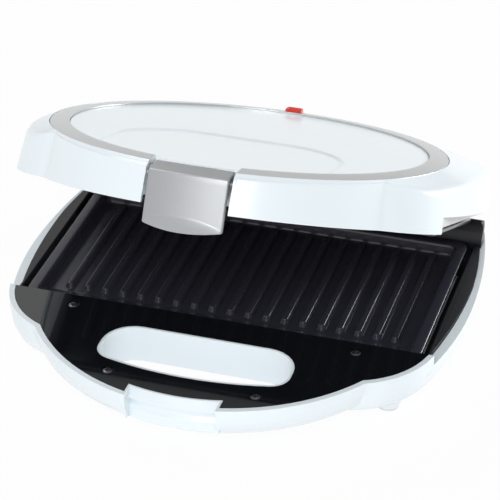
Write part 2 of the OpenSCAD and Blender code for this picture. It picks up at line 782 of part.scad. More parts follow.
// A point of the ring's tilted frame: angle, radius and height above the ring's face
function on_ring_at(a, r, h) =
    [r * cos(a), ring_cy + r * sin(a) * cos(ring_tilt) - h * sin(ring_tilt),
     ring_z + r * sin(a) * sin(ring_tilt) + h * cos(ring_tilt)];
function shoulder_z(p) =
    ring_z + tan(ring_tilt) * (p[1] - ring_cy)
    - shoulder_fall * max(0, norm(p - ring_c) - ring_r);
function fillet_at(p) =
    min(lid_fillet, max(1.2, 0.55 * (norm(p - ring_c) - ring_r - lid_draft)));

lid_plan = outline(0, lid_rear_y);
lid_tops = [for (p = lid_plan) shoulder_z(p)];
lid_fillets = [for (p = lid_plan) fillet_at(p)];
lid_angles = [for (p = lid_plan) toward(ring_c, p)];
lid_n = len(lid_plan);

function wall_ring(d, z) =
    let (plan = outline(d, lid_rear_y))
    [for (i = [0:lid_n - 1]) [plan[i][0], plan[i][1], z]];
// The rounded upper edge: turn is 0 on the wall and 90 on the shoulder
function fillet_ring(turn, inset) =
    let (c = cos(turn), s = sin(turn),
         near = outline(lid_draft + inset, lid_rear_y),
         deep = outline(lid_draft + inset + lid_fillet, lid_rear_y))
    [for (i = [0:lid_n - 1])
        let (r = lid_fillets[i], p = near[i] + (deep[i] - near[i]) * (r / lid_fillet) * (1 - c))
        [p[0], p[1], lid_tops[i] - inset - r + r * s]];
function seat_ring(r, h) = [for (a = lid_angles) on_ring_at(a, r, h)];

module loft(rings) {
    n = len(rings[0]);
    m = len(rings);
    polyhedron(
        points = [for (ring = rings) each ring],
        faces = [for (k = [0:m - 1]) for (i = [0:n - 1])
            let (a = k * n + i, b = k * n + (i + 1) % n,
                 c = ((k + 1) % m) * n + (i + 1) % n, d = ((k + 1) % m) * n + i)
            each [[a, d, c], [a, c, b]]],
        convexity = 8);
}
seat_r = ring_r + 0.35;
opening_r = ring_r - ring_w - 3.2;
lid_rings = [wall_ring(0, lid_low_z),
             wall_ring(lid_draft * 0.45, lid_low_z + 9),
             fillet_ring(0, 0), fillet_ring(25, 0), fillet_ring(50, 0), fillet_ring(72, 0),
             seat_ring(seat_r, 0.1), seat_ring(seat_r, -ring_t), seat_ring(opening_r, -ring_t),
             seat_ring(opening_r, -ring_t - 2), seat_ring(seat_r - 1.5, -ring_t - 2),
             fillet_ring(50, wall), fillet_ring(0, wall),
             wall_ring(wall, lid_low_z)];

lid_screw_at = [[plate_hw - 1.4, 14], [plate_hw - 1.4, 96]];
latch_pivot_y = front_edge_y + 10.2;
latch_back_y = front_edge_y + 13.3;
latch_pivot_z = deck_z + latch_pivot_rise;
lid_boss_z = lid_side_z + wall;
pocket_back_y = front_edge_y + 17.2;

module lid_shell() {
    color(white) difference() {
        union() {
            difference() {
                loft(lid_rings);
                zone(-far, far, side_step_y, far, 0, lid_side_z);
                // slot for the latch
                zone(-latch_gap_hw, latch_gap_hw, -far, pocket_back_y + 1, 0, far);
            }
            latch_pocket();
            both_sides() for (p = lid_screw_at)
                rod([p[0], p[1], lid_boss_z], 4, shoulder_z(p) - lid_boss_z - 2.6);
        }
        both_sides() rod_x(latch_gap_hw - 2, latch_gap_hw + 1.8, latch_pivot_y, latch_pivot_z, 1.52);
        both_sides() for (p = lid_screw_at)
            rod([p[0], p[1], 0], screw_r + 0.05, lid_boss_z + 10);
        lens_hole(0.3);
    }
}
// Walls at both sides of the latch and behind it
module latch_pocket() {
    intersection() {
        union() {
            both_sides() zone(latch_gap_hw, latch_gap_hw + 2, -far, pocket_back_y, lid_low_z + 3.6, far);
            zone(-latch_gap_hw - 2, latch_gap_hw + 2, pocket_back_y, pocket_back_y + 2,
                 lid_low_z + 3.6, far);
        }
        slab(0, 2 * far) polygon(outline(lid_draft + 1, lid_rear_y));
        translate([0, ring_cy, ring_z]) rotate([ring_tilt, 0, 0])
            zone(-far, far, -far, far, -far, -ring_t - 0.1);
    }
}
module in_ring_frame() {
    translate([0, ring_cy, ring_z]) rotate([ring_tilt, 0, 0]) children();
}
lens_y = ring_r - ring_w / 2;
lens_r = 2.9;
module lens_hole(gap) {
    in_ring_frame()
        zone(lens_x - lens_l / 2 + 1.6 - gap, lens_x + lens_l / 2 - 1.6 + gap,
             lens_y - 2 - gap, lens_y + 2 + gap, -12, 12);
}
module trim_ring() {
    color(silver) difference() {
        in_ring_frame() rotate_extrude($fn = round_fn * 2)
            polygon([[ring_r - ring_w, -ring_t + 0.05], [ring_r, -ring_t + 0.05],
                     [ring_r, -0.5], [ring_r - 0.6, 0.1],
                     [ring_r - ring_w + 0.4, ring_crown], [ring_r - ring_w, ring_crown - 0.4]]);
        zone(-latch_gap_hw, latch_gap_hw, -far, 0, 0, far);
        lens_hole(0.1);
    }
}
panel_r = ring_r - ring_w - 0.15;
panel_top = ring_crown - 1;
hollow_hw = 63;
hollow_back_y = -5;
hollow_corner_r = 40;
module top_panel() {
    color(white) in_ring_frame() difference() {
        union() {
            translate([0, 0, -ring_t + 0.05])
                cylinder(r = panel_r, h = panel_top + ring_t - 0.35, $fn = round_fn * 2);
            translate([0, 0, panel_top - 0.3 - eps])
                cylinder(r1 = panel_r, r2 = panel_r - 1, h = 0.3 + eps, $fn = round_fn * 2);
            intersection() {
                zone(-latch_gap_hw + 0.3, latch_gap_hw - 0.3, -panel_r - 4, -80, -ring_t + 0.05, -0.7);
                translate([0, 0, -5]) cylinder(r = panel_r + 1.2, h = 9, $fn = round_fn * 2);
            }
        }
        // clear of the latch
        translate([0, -ring_cy, 0])
            zone(-latch_gap_hw, latch_gap_hw, -far, latch_back_y + 1.8, -far, far);
        // arched hollow towards the front
        slab(panel_top - hollow_d, panel_top + 1)
            polygon(concat([[-hollow_hw, -far], [hollow_hw, -far]],
                           arc([hollow_hw - hollow_corner_r, hollow_back_y - hollow_corner_r],
                               hollow_corner_r, 0, 90, 10),
                           arc([hollow_corner_r - hollow_hw, hollow_back_y - hollow_corner_r],
                               hollow_corner_r, 90, 180, 10)));
    }
}
// The lens lies on the sloping face of the ring
ring_slope = atan((ring_crown - 0.1) / (ring_w - 1));
lens_z = 0.1 + (ring_r - 0.6 - lens_y) * tan(ring_slope) + 0.07;
module indicator_lens() {
    color([0.8, 0.1, 0.08]) in_ring_frame() {
        translate([lens_x, lens_y, lens_z]) rotate([-ring_slope, 0, 0]) intersection() {
            union() {
                rod_x(lens_r - lens_l / 2, (lens_l - lens_r) / 2, 0, 0, lens_r);
                translate([lens_r - lens_l / 2, 0, 0]) sphere(r = lens_r, $fn = small_fn);
            }
            zone(-far, far, -far, far, 0, far);
        }
        zone(lens_x - lens_l / 2 + 1.6, lens_x + lens_l / 2 - 1.6, lens_y - 2, lens_y + 2,
             -9, lens_z + 0.4);
    }
}
module indicator_lamp() {
    color([0.9, 0.55, 0.4]) in_ring_frame() translate([lens_x, lens_y, -9.1]) {
        translate([0, 0, -9]) cylinder(r = 2.4, h = 9, $fn = small_fn);
        for (s = [-1, 1]) translate([s * 1.2, 0, -14]) cylinder(r = 0.3, h = 5 + eps, $fn = 16);
    }
}

// Inner frame of the lid: skirt round the plate, web out to the wall, hinge lugs
skirt_hw = plate_hw + 5.2;
skirt_low_z = deck_z + 3.9;
web_low_z = lid_side_z + 0.4;
module lid_frame() {
    color(light_grey) difference() {
        union() {
            // skirt beside the raised edge
            slab(skirt_low_z, lid_side_z - 0.2)
                polygon(rounded(skirt_hw, side_step_y + 0.2, plate_back_y + 2.5, 3));
            slab(skirt_low_z, lid_boss_z - seat) intersection() {
                polygon(rounded(skirt_hw, side_step_y + 0.2, plate_back_y + 2.5, 3));
                polygon(outline(wall + 2, lid_rear_y));
            }
            // front web, inside the full-height wall
            slab(skirt_low_z, skirt_low_z + 2) intersection() {
                polygon(outline(wall + 1.2, lid_rear_y));
                translate([-far, -far]) square([2 * far, far + side_step_y + 2]);
            }
            // side and rear web above the raised edge
            slab(web_low_z, lid_boss_z - seat) intersection() {
                polygon(outline(wall + 2, lid_rear_y));
                translate([-far, side_step_y + 0.2]) square([2 * far, far]);
            }
            both_sides() lid_lug();
            both_sides() for (p = plate_screw_at) {
                rod([p[0], p[1], upper_back_z + seat], 5, lid_boss_z - upper_back_z - 2 * seat);
                zone(p[0], plate_hw, p[1] - 5, p[1] + 5, upper_back_z + seat, lid_boss_z - seat);
            }
        }
        // opening for the plate
        difference() {
            slab(0, far) polygon(rounded(plate_hw - plate_rim + 1.9, plate_front_y + 0.6, plate_back_y - 3, 5));
            both_sides() for (p = plate_screw_at) {
                rod([p[0], p[1], upper_back_z + seat], 5, far);
                zone(p[0], far, p[1] - 5, p[1] + 5, upper_back_z + seat, far);
            }
        }
        slab(0, upper_rim_z + 2.4 + seat)
            polygon(rounded(plate_hw + 0.4, plate_front_y - 0.6, plate_back_y + 0.4, 6));
        // clearance round the hinge barrel
        difference() {
            rod_x(-far, far, hinge_y, hinge_z, barrel_r + 0.9);
            both_sides() zone(lug_x - lug_w / 2, lug_x + lug_w / 2, 0, far, -far, far);
        }
        // seat of the latch
        zone(-latch_gap_hw - 2.2, latch_gap_hw + 2.2, -far, pocket_back_y + 2.2, 0, far);
        both_sides() rod_x(lug_x - 20, lug_x + 20, hinge_y, hinge_z, pin_r + run_gap);
        both_sides() for (p = lid_screw_at) {
            rod([p[0], p[1], 0], screw_r + 0.2, far);
            rod([p[0], p[1], 0], 3.6, web_low_z);
        }
        both_sides() for (p = plate_screw_at)
            rod([p[0], p[1], 0], screw_r + 0.2, far);
    }
}
module lid_lug() {
    rod_x(lug_x - lug_w / 2, lug_x + lug_w / 2, hinge_y, hinge_z, lug_r);
    across(lug_x - lug_w / 2, lug_x + lug_w / 2)
        polygon([[hinge_y - lug_r, hinge_z], [hinge_y - lug_r, lug_knee_z], [lug_front_y, web_low_z],
                 [lug_front_y, lid_boss_z - seat], [lid_rear_y - wall - 2.4, lid_boss_z - seat],
                 [lid_rear_y - wall - 2.4, web_low_z - 2], [hinge_y + 1, hinge_z + lug_r - 0.2]]);
}
module lid_screws() {
    color(steel) both_sides() for (p = lid_screw_at)
        translate([p[0], p[1], web_low_z - 0.02]) plate_screw(lid_boss_z - web_low_z + 8);
}
module upper_plate_screws() {
    color(steel) both_sides() for (p = plate_screw_at)
        translate([p[0], p[1], lid_boss_z - seat + 0.02])
            pan_screw(3.2, 1.6, lid_boss_z - upper_back_z + 1.8);
}

// ---- latch ----
latch_face_r = front_r - 0.9;
latch_front_y = front_cy - latch_face_r;
latch_top_z = deck_z + 19.6;
latch_low_z = deck_z - latch_drop;
lip_r = 45;
lip_cy = latch_front_y - lip_out + lip_r;
hook_z = catch_lip_z - 0.8;
module latch() {
    color(silver) difference() {
        union() {
            difference() {
                intersection() {
                    translate([0, front_cy, 0])
                        cylinder(r1 = latch_face_r + 0.6, r2 = latch_face_r - 0.4, h = 60, $fn = round_fn * 2);
                    across(-latch_hw, latch_hw)
                        polygon([[latch_front_y - 11, latch_low_z], [latch_back_y, latch_low_z],
                                 [latch_back_y, latch_top_z + 3.1],
                                 [latch_back_y - 7.8, latch_top_z + 0.9],
                                 [latch_front_y - 11, latch_top_z - 3.3]]);
                }
                // hollow behind the face and under the top
                translate([0, front_cy, 0])
                    cylinder(r = latch_face_r - 2.8, h = latch_pivot_z - 6, $fn = round_fn * 2);
                across(-latch_hw + 3, latch_hw - 3)
                    polygon([[pocket_back_y, -1], [latch_back_y - 7.8, -1],
                             [latch_back_y - 7.8, latch_top_z - 2.2],
                             [latch_back_y + 0.4, latch_top_z + 0.4],
                             [pocket_back_y, latch_top_z + 1]]);
                zone(-far, far, latch_pivot_y + 3.6, far, 0, latch_top_z - 1.4);
            }
            // finger lip
            intersection() {
                translate([0, lip_cy, 0]) rotate_extrude($fn = round_fn)
                    polygon([[lip_r - 9, latch_low_z], [lip_r - 0.5, latch_low_z], [lip_r, latch_low_z + 0.5],
                             [lip_r, latch_low_z + 1.2], [lip_r - 1.2, latch_low_z + 2.4],
                             [lip_r - 2.4, latch_low_z + 4.6], [lip_r - 3.4, latch_low_z + 7.4],
                             [lip_r - 3.9, latch_low_z + 9.6], [lip_r - 9, latch_low_z + 9.6]]);
                zone(-latch_hw, latch_hw, -far, lip_cy - 10, 0, deck_z);
                translate([0, front_cy, 0]) difference() {
                    cylinder(r = far, h = deck_z, $fn = round_fn);
                    translate([0, 0, -1]) cylinder(r = latch_face_r - 2, h = 2 * deck_z, $fn = round_fn * 2);
                }
            }
            // hook
            intersection() {
                translate([0, front_cy, 0]) rotate_extrude($fn = round_fn * 2)
                    polygon([[catch_lip_r + 0.5, hook_z - 0.1], [latch_face_r - 1, hook_z + 1.4],
                             [latch_face_r - 1, hook_z - 2.2], [catch_lip_r + 1, hook_z - 2.2]]);
                zone(-14, 14, -far, 0, 0, deck_z);
            }
            // bearing eyes
            both_sides() rod_x(latch_hw - 3, latch_hw, latch_pivot_y, latch_pivot_z, 3.4);
        }
        rod_x(-far, far, latch_pivot_y, latch_pivot_z, 1.5 + run_gap);
    }
}
module latch_pin() {
    color(steel) rod_x(-latch_gap_hw - 1.5, latch_gap_hw + 1.5, latch_pivot_y, latch_pivot_z, 1.5);
}
module latch_spring() {
    color(steel) difference() {
        union() {
            rod_x(-6, 6, latch_pivot_y, latch_pivot_z, 2.2);
            zone(-6, -5.2, latch_pivot_y, pocket_back_y - 0.1, latch_pivot_z + 1.2, latch_pivot_z + 2);
        }
        rod_x(-7, 7, latch_pivot_y, latch_pivot_z, 1.6);
    }
}

// Depth of the open model: front of the base to the rearmost point of the raised lid
function opened_y(p) =
    hinge_y + (p[1] - hinge_y) * cos(lid_open) + (p[2] - hinge_z) * sin(lid_open);
rear_reach = max(max([for (ring = lid_rings) for (p = ring) opened_y(p)]), rear_y + 7);
front_reach = front_cy - sqrt(pow(front_r, 2) - pow(catch_hw, 2));
mid_y = (front_reach + rear_reach) / 2;

place() base_shell();
place() front_deck();
place() deck_screws();
place() base_frame();
place() hinge_housing();
place() lower_plate();
place() lower_plate_screws();
place() lower_element();
place() lower_reflector();
place() thermostat();
place() thermal_fuse();
place() terminal_block();
place() bottom_cover();
place() cover_screws();
place() foot_pads();
place() hinge_pins();
place() cord_gland();
place() with_lid() lid_shell();
place() with_lid() trim_ring();
place() with_lid() top_panel();
place() with_lid() lid_frame();
place() with_lid() lid_screws();
place() with_lid() upper_plate();
place() with_lid() upper_plate_screws();
place() with_lid() upper_element();
place() with_lid() upper_reflector();
place() with_lid() indicator_lens();
place() with_lid() indicator_lamp();
place() with_lid() latch();
place() with_lid() latch_pin();
place() with_lid() latch_spring();
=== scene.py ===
import math

import bmesh
import bpy
from mathutils import Matrix, Vector


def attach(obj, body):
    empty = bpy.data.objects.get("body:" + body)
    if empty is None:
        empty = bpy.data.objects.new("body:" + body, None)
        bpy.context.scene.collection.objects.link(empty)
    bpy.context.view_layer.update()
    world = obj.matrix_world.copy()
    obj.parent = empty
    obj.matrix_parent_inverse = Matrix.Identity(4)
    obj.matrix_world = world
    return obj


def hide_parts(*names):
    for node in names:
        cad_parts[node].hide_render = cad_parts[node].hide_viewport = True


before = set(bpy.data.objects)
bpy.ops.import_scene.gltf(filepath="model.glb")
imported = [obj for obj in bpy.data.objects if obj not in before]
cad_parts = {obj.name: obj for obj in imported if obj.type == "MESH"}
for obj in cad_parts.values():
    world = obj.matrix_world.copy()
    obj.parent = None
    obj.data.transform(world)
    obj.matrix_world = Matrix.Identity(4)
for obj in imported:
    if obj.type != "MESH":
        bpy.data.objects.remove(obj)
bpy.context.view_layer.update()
print("frame loaded:", len(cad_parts), "nodes")

# Work space is the one the housing was drawn in: millimetres, y = 0 at the front line of the grill
# plate, z = 0 on the table, lid shut. toRow and toLid bring a point into the part's frame, in metres.
place = dict(midY=41.42445, hingeY=150.1, hingeZ=20.9, lidOpen=26.15)
perMetre = 1000    # millimetres


def toRow(x, y, z):
    return Vector((x / perMetre, (y - place["midY"]) / perMetre, z / perMetre))


def toLid(x, y, z):
    turn = math.radians(place["lidOpen"])
    dy, dz = y - place["hingeY"], z - place["hingeZ"]
    return toRow(x, place["hingeY"] + dy * math.cos(turn) + dz * math.sin(turn),
                 place["hingeZ"] - dy * math.sin(turn) + dz * math.cos(turn))


# ring space: z = 0 on the plane that the silver ring lies in, origin at its centre
ringPlace = dict(centreY=29.5, centreZ=64.1, tilt=6.16)


def ringWork(x, y, z):
    tilt = math.radians(ringPlace["tilt"])
    return (x, ringPlace["centreY"] + y * math.cos(tilt) - z * math.sin(tilt),
            ringPlace["centreZ"] + y * math.sin(tilt) + z * math.cos(tilt))


def ringPoint(x, y, z):
    return toLid(*ringWork(x, y, z))


def lerp(a, b, t):
    return a + (b - a) * t


def smooth(t):
    t = min(1, max(0, t))
    return t * t * (3 - 2 * t)


def steps(a, b, n, first=0):
    return [lerp(a, b, i / n) for i in range(first, n + 1)]


def turns(*degrees):
    # sine and cosine of each angle, for rounding an edge
    return [(math.sin(math.radians(d)), math.cos(math.radians(d))) for d in degrees]


# finishes; every pattern reads Object coordinates, in metres
noiseSpan = (0.3, 0.7)    # the noise values at a pattern's dark and light ends


def newMaterial(name, base, rough=0.4, metal=0.0, coat=0.0, coatRough=0.05, specular=0.5):
    mat = bpy.data.materials.new(name)
    mat.use_nodes = True
    tree = mat.node_tree
    shader = tree.nodes["Principled BSDF"]
    shader.inputs["Base Color"].default_value = (*base, 1)
    shader.inputs["Roughness"].default_value = rough
    shader.inputs["Metallic"].default_value = metal
    shader.inputs["Coat Weight"].default_value = coat
    shader.inputs["Coat Roughness"].default_value = coatRough
    shader.inputs["Specular IOR Level"].default_value = specular
    return mat, tree, shader


def objectNoise(tree, scale, detail, rough=0.55, stretch=(1, 1, 1), turn=(0, 0, 0)):
    coord = tree.nodes.new("ShaderNodeTexCoord")
    mapping = tree.nodes.new("ShaderNodeMapping")
    mapping.inputs["Scale"].default_value = stretch
    mapping.inputs["Rotation"].default_value = turn
    noise = tree.nodes.new("ShaderNodeTexNoise")
    noise.inputs["Scale"].default_value = scale
    noise.inputs["Detail"].default_value = detail
    noise.inputs["Roughness"].default_value = rough
    tree.links.new(coord.outputs["Object"], mapping.inputs["Vector"])
    tree.links.new(mapping.outputs["Vector"], noise.inputs["Vector"])
    return noise


def shade(colour, share):
    return tuple(min(1, c * share) for c in colour)


def varyColour(tree, shader, noise, dark, light):
    ramp = tree.nodes.new("ShaderNodeValToRGB")
    for stop, position, colour in zip(ramp.color_ramp.elements, noiseSpan, (dark, light)):
        stop.position = position
        stop.color = (*colour, 1)
    tree.links.new(noise.outputs["Fac"], ramp.inputs["Fac"])
    tree.links.new(ramp.outputs["Color"], shader.inputs["Base Color"])


def varyRoughness(tree, shader, noise, low, high):
    spread = tree.nodes.new("ShaderNodeMapRange")
    spread.inputs["From Min"].default_value = noiseSpan[0]
    spread.inputs["From Max"].default_value = noiseSpan[1]
    spread.inputs["To Min"].default_value = low
    spread.inputs["To Max"].default_value = high
    tree.links.new(noise.outputs["Fac"], spread.inputs["Value"])
    tree.links.new(spread.outputs["Result"], shader.inputs["Roughness"])


def addBump(tree, shader, noise, strength, distance):
    bump = tree.nodes.new("ShaderNodeBump")
    bump.inputs["Strength"].default_value = strength
    bump.inputs["Distance"].default_value = distance
    tree.links.new(noise.outputs["Fac"], bump.inputs["Height"])
    tree.links.new(bump.outputs["Normal"], shader.inputs["Normal"])


def glossWhite(name, base):
    mat, tree, shader = newMaterial(name, base, 0.24, coat=0.2, coatRough=0.12)
    broad = objectNoise(tree, scale=9, detail=2)
    varyColour(tree, shader, broad, shade(base, 0.985), base)
    varyRoughness(tree, shader, broad, low=0.21, high=0.27)
    addBump(tree, shader, objectNoise(tree, scale=14, detail=1), strength=0.03, distance=0.0002)
    return mat


def glossBlack(name, base, low, high):
    mat, tree, shader = newMaterial(name, base, low, coat=0.6, coatRough=0.03)
    varyColour(tree, shader, objectNoise(tree, scale=30, detail=3), shade(base, 0.8), base)
    varyRoughness(tree, shader, objectNoise(tree, scale=60, detail=5), low, high)
    addBump(tree, shader, objectNoise(tree, scale=34, detail=2), strength=0.06, distance=0.0008)
    return mat


def satinPlastic(name, base, rough, grain=900, depth=0.00003, specular=0.5):
    mat, tree, shader = newMaterial(name, base, rough, specular=specular)
    varyColour(tree, shader, objectNoise(tree, scale=25, detail=4), shade(base, 0.88), base)
    varyRoughness(tree, shader, objectNoise(tree, scale=160, detail=4), rough - 0.05, rough + 0.06)
    addBump(tree, shader, objectNoise(tree, scale=grain, detail=2), strength=0.3, distance=depth)
    return mat


def nonStick(name, base, rough):
    mat, tree, shader = newMaterial(name, base, rough)
    varyColour(tree, shader, objectNoise(tree, scale=900, detail=2), shade(base, 0.88), shade(base, 1.1))
    varyRoughness(tree, shader, objectNoise(tree, scale=60, detail=3), rough - 0.04, rough + 0.05)
    addBump(tree, shader, objectNoise(tree, scale=600, detail=2), strength=0.25, distance=0.00003)
    return mat


def brushed(name, base, rough, stretch, metal=0.85, turn=(0, 0, 0)):
    # the stretch draws the noise out into lines
    mat, tree, shader = newMaterial(name, base, rough, metal=metal)
    lines = objectNoise(tree, scale=260, detail=5, rough=0.6, stretch=stretch, turn=turn)
    varyColour(tree, shader, lines, shade(base, 0.9), shade(base, 1.04))
    varyRoughness(tree, shader, lines, rough - 0.05, rough + 0.08)
    addBump(tree, shader, lines, strength=0.35, distance=0.00003)
    return mat


def roundBrushed(name, base, rough, centre, tilt):
    # brushing in circles: the noise runs over the distance from the ring's axis
    mat, tree, shader = newMaterial(name, base, rough, metal=0.6)
    coord = tree.nodes.new("ShaderNodeTexCoord")
    mapping = tree.nodes.new("ShaderNodeMapping")
    mapping.vector_type = "TEXTURE"
    mapping.inputs["Location"].default_value = centre
    mapping.inputs["Rotation"].default_value = (tilt, 0, 0)
    split = tree.nodes.new("ShaderNodeSeparateXYZ")
    flat = tree.nodes.new("ShaderNodeCombineXYZ")
    length = tree.nodes.new("ShaderNodeVectorMath")
    length.operation = "LENGTH"
    noise = tree.nodes.new("ShaderNodeTexNoise")
    noise.noise_dimensions = "1D"
    noise.inputs["Scale"].default_value = 4200
    noise.inputs["Detail"].default_value = 3
    tree.links.new(coord.outputs["Object"], mapping.inputs["Vector"])
    tree.links.new(mapping.outputs["Vector"], split.inputs["Vector"])
    tree.links.new(split.outputs["X"], flat.inputs["X"])
    tree.links.new(split.outputs["Y"], flat.inputs["Y"])
    tree.links.new(flat.outputs["Vector"], length.inputs[0])
    tree.links.new(length.outputs["Value"], noise.inputs["W"])
    varyColour(tree, shader, noise, shade(base, 0.93), shade(base, 1.03))
    varyRoughness(tree, shader, noise, rough - 0.04, rough + 0.06)
    addBump(tree, shader, noise, strength=0.25, distance=0.00002)
    return mat


def glowingRed(name, base):
    mat, tree, shader = newMaterial(name, base, 0.08, coat=0.2, coatRough=0.03)
    varyColour(tree, shader, objectNoise(tree, scale=240, detail=3), shade(base, 0.8), base)
    shader.inputs["Emission Color"].default_value = (1.0, 0.12, 0.06, 1)
    shader.inputs["Emission Strength"].default_value = 0.08
    return mat


white = glossWhite("whiteGloss", (0.76, 0.83, 0.87))
deckBlack = glossBlack("deckBlack", (0.005, 0.006, 0.008), low=0.05, high=0.09)
frameBlack = satinPlastic("frameBlack", (0.009, 0.0095, 0.012), 0.32, specular=0.28)
nonStickBlack = nonStick("nonStickBlack", (0.03, 0.03, 0.042), 0.2)
# pale grey for the lid's inner frame: darker than the white housing, to paint the shade that falls under
# the lid
paintedShadeGrey = satinPlastic("paintedShadeGrey", (0.62, 0.63, 0.64), 0.42)
rubber = satinPlastic("rubber", (0.7, 0.72, 0.74), 0.6, grain=600, depth=0.0001)
latchSilver = brushed("latchSilver", (0.4, 0.412, 0.425), 0.4, (1, 30, 30), metal=0.6, turn=(0.45, 0, 0))
screwSteel = brushed("screwSteel", (0.13, 0.13, 0.14), 0.24, (6, 1, 6))
plainSteel = brushed("plainSteel", (0.58, 0.58, 0.59), 0.32, (1, 12, 12))
sheetMirror = brushed("sheetMirror", (0.72, 0.72, 0.72), 0.25, (20, 1, 20))
ceramic = satinPlastic("ceramic", (0.72, 0.7, 0.65), 0.35, grain=300)
lensRed = glowingRed("lensRed", (0.62, 0.012, 0.008))
lampGlass = glowingRed("lampGlass", (0.85, 0.35, 0.2))
ringSilver = roundBrushed("ringSilver", (0.64, 0.655, 0.66), 0.34, centre=ringPoint(0, 0, 0),
                          tilt=math.radians(ringPlace["tilt"] - place["lidOpen"]))
print("finishes made")


# helpers for meshes
weldRule = dict(made=1e-6, copied=2e-6, flat=0.6)    # merge distances in metres, flatness in degrees


def meshObject(name, points, faces, material, smoothFaces=True):
    mesh = bpy.data.meshes.new(name)
    mesh.from_pydata([tuple(p) for p in points], [], faces)
    mesh.materials.append(material)
    mesh.validate()
    bm = bmesh.new()
    bm.from_mesh(mesh)
    bmesh.ops.remove_doubles(bm, verts=bm.verts, dist=weldRule["made"])
    bmesh.ops.recalc_face_normals(bm, faces=bm.faces)
    for face in bm.faces:
        face.smooth = smoothFaces
    bm.to_mesh(mesh)
    bm.free()
    obj = bpy.data.objects.new(name, mesh)
    bpy.context.scene.collection.objects.link(obj)
    return obj


def skinLoops(loops, toPlace, points, faces):
    # joins closed loops one after another and closes both ends
    start, n = len(points), len(loops[0])
    for loop in loops:
        points.extend(toPlace(*q) for q in loop)
    for k in range(len(loops) - 1):
        for i in range(n):
            a, b = start + k * n + i, start + k * n + (i + 1) % n
            faces.append((a, b, b + n, a + n))
    faces.append(tuple(start + i for i in reversed(range(n))))
    faces.append(tuple(start + (len(loops) - 1) * n + i for i in range(n)))


def soften(obj, width, segments=3, angle=32):
    bevel = obj.modifiers.new("roundedEdges", "BEVEL")
    bevel.width = width / perMetre
    bevel.segments = segments
    bevel.limit_method = "ANGLE"
    bevel.angle_limit = math.radians(angle)
    bevel.use_clamp_overlap = True
    bevel.miter_outer = "MITER_ARC"
    bevel.harden_normals = True
    weighted = obj.modifiers.new("evenNormals", "WEIGHTED_NORMAL")
    weighted.keep_sharp = True
    return obj


def fromNode(nodeName, name, material, width):
    # a copy of a CAD node with merged faces and rounded edges
    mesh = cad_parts[nodeName].data.copy()
    mesh.name = name
    bm = bmesh.new()
    bm.from_mesh(mesh)
    bmesh.ops.remove_doubles(bm, verts=bm.verts, dist=weldRule["copied"])
    bmesh.ops.dissolve_limit(bm, angle_limit=math.radians(weldRule["flat"]),
                             use_dissolve_boundaries=False, verts=bm.verts, edges=bm.edges)
    for face in bm.faces:
        face.smooth = True
    bm.to_mesh(mesh)
    bm.free()
    mesh.materials.clear()
    mesh.materials.append(material)
    obj = bpy.data.objects.new(name, mesh)
    bpy.context.scene.collection.objects.link(obj)
    return soften(obj, width)


def settle(obj, body, nodes):
    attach(obj, body)
    if nodes:
        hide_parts(*nodes)


# node trees, for what repeats or follows a rule; their sizes are millimetres
def newTree(name, sizes):
    tree = bpy.data.node_groups.new(name, "GeometryNodeTree")
    tree.interface.new_socket(name="Geometry", in_out="INPUT", socket_type="NodeSocketGeometry")
    for label, value in sizes.items():
        kind = "NodeSocketInt" if isinstance(value, int) else "NodeSocketFloat"
        socket = tree.interface.new_socket(name=label, in_out="INPUT", socket_type=kind)
        socket.default_value = value
    tree.interface.new_socket(name="Material", in_out="INPUT", socket_type="NodeSocketMaterial")
    tree.interface.new_socket(name="Geometry", in_out="OUTPUT", socket_type="NodeSocketGeometry")
    return tree, tree.nodes.new("NodeGroupInput")


def calc(tree, operation, *values):
    node = tree.nodes.new("ShaderNodeMath")
    node.operation = operation
    for socket, value in zip(node.inputs, values):
        if isinstance(value, (int, float)):
            socket.default_value = value
        else:
            tree.links.new(value, socket)
    return node.outputs[0]


def follow(tree, value, heights):
    # straight lines through evenly spaced heights
    node = tree.nodes.new("ShaderNodeFloatCurve")
    curve = node.mapping.curves[0]
    for i in range(len(heights) - 2):
        curve.points.new((i + 1) / (len(heights) - 1), 0.5)
    for i, point in enumerate(curve.points):
        point.location = (i / (len(heights) - 1), heights[i])
        point.handle_type = "VECTOR"
    node.mapping.update()
    tree.links.new(value, node.inputs["Value"])
    return node.outputs["Value"]


def unitGrid(tree, across, along):
    # a grid from 0 to 1 both ways, to be bent into a shape
    grid = tree.nodes.new("GeometryNodeMeshGrid")
    grid.inputs["Vertices X"].default_value = across
    grid.inputs["Vertices Y"].default_value = along
    split = tree.nodes.new("ShaderNodeSeparateXYZ")
    spot = tree.nodes.new("GeometryNodeInputPosition").outputs["Position"]
    tree.links.new(spot, split.inputs["Vector"])
    u, v = (calc(tree, "ADD", split.outputs[axis], 0.5) for axis in ("X", "Y"))
    return grid.outputs["Mesh"], u, v


def polar(tree, radius, angle):
    return [calc(tree, "MULTIPLY", radius, calc(tree, part, angle)) for part in ("COSINE", "SINE")]


def weld(tree, mesh):
    # closes seams and poles
    merge = tree.nodes.new("GeometryNodeMergeByDistance")
    merge.inputs["Distance"].default_value = 0.002
    tree.links.new(mesh, merge.inputs["Geometry"])
    return merge.outputs["Geometry"]


def bend(tree, mesh, x, y, z):
    join = tree.nodes.new("ShaderNodeCombineXYZ")
    for socket, value in zip(join.inputs, (x, y, z)):
        tree.links.new(value, socket)
    move = tree.nodes.new("GeometryNodeSetPosition")
    tree.links.new(mesh, move.inputs["Geometry"])
    tree.links.new(join.outputs["Vector"], move.inputs["Position"])
    return weld(tree, move.outputs["Geometry"])


def repeatAt(tree, points, shape):
    spread = tree.nodes.new("GeometryNodeInstanceOnPoints")
    tree.links.new(points, spread.inputs["Points"])
    tree.links.new(shape, spread.inputs["Instance"])
    return spread.outputs["Instances"]


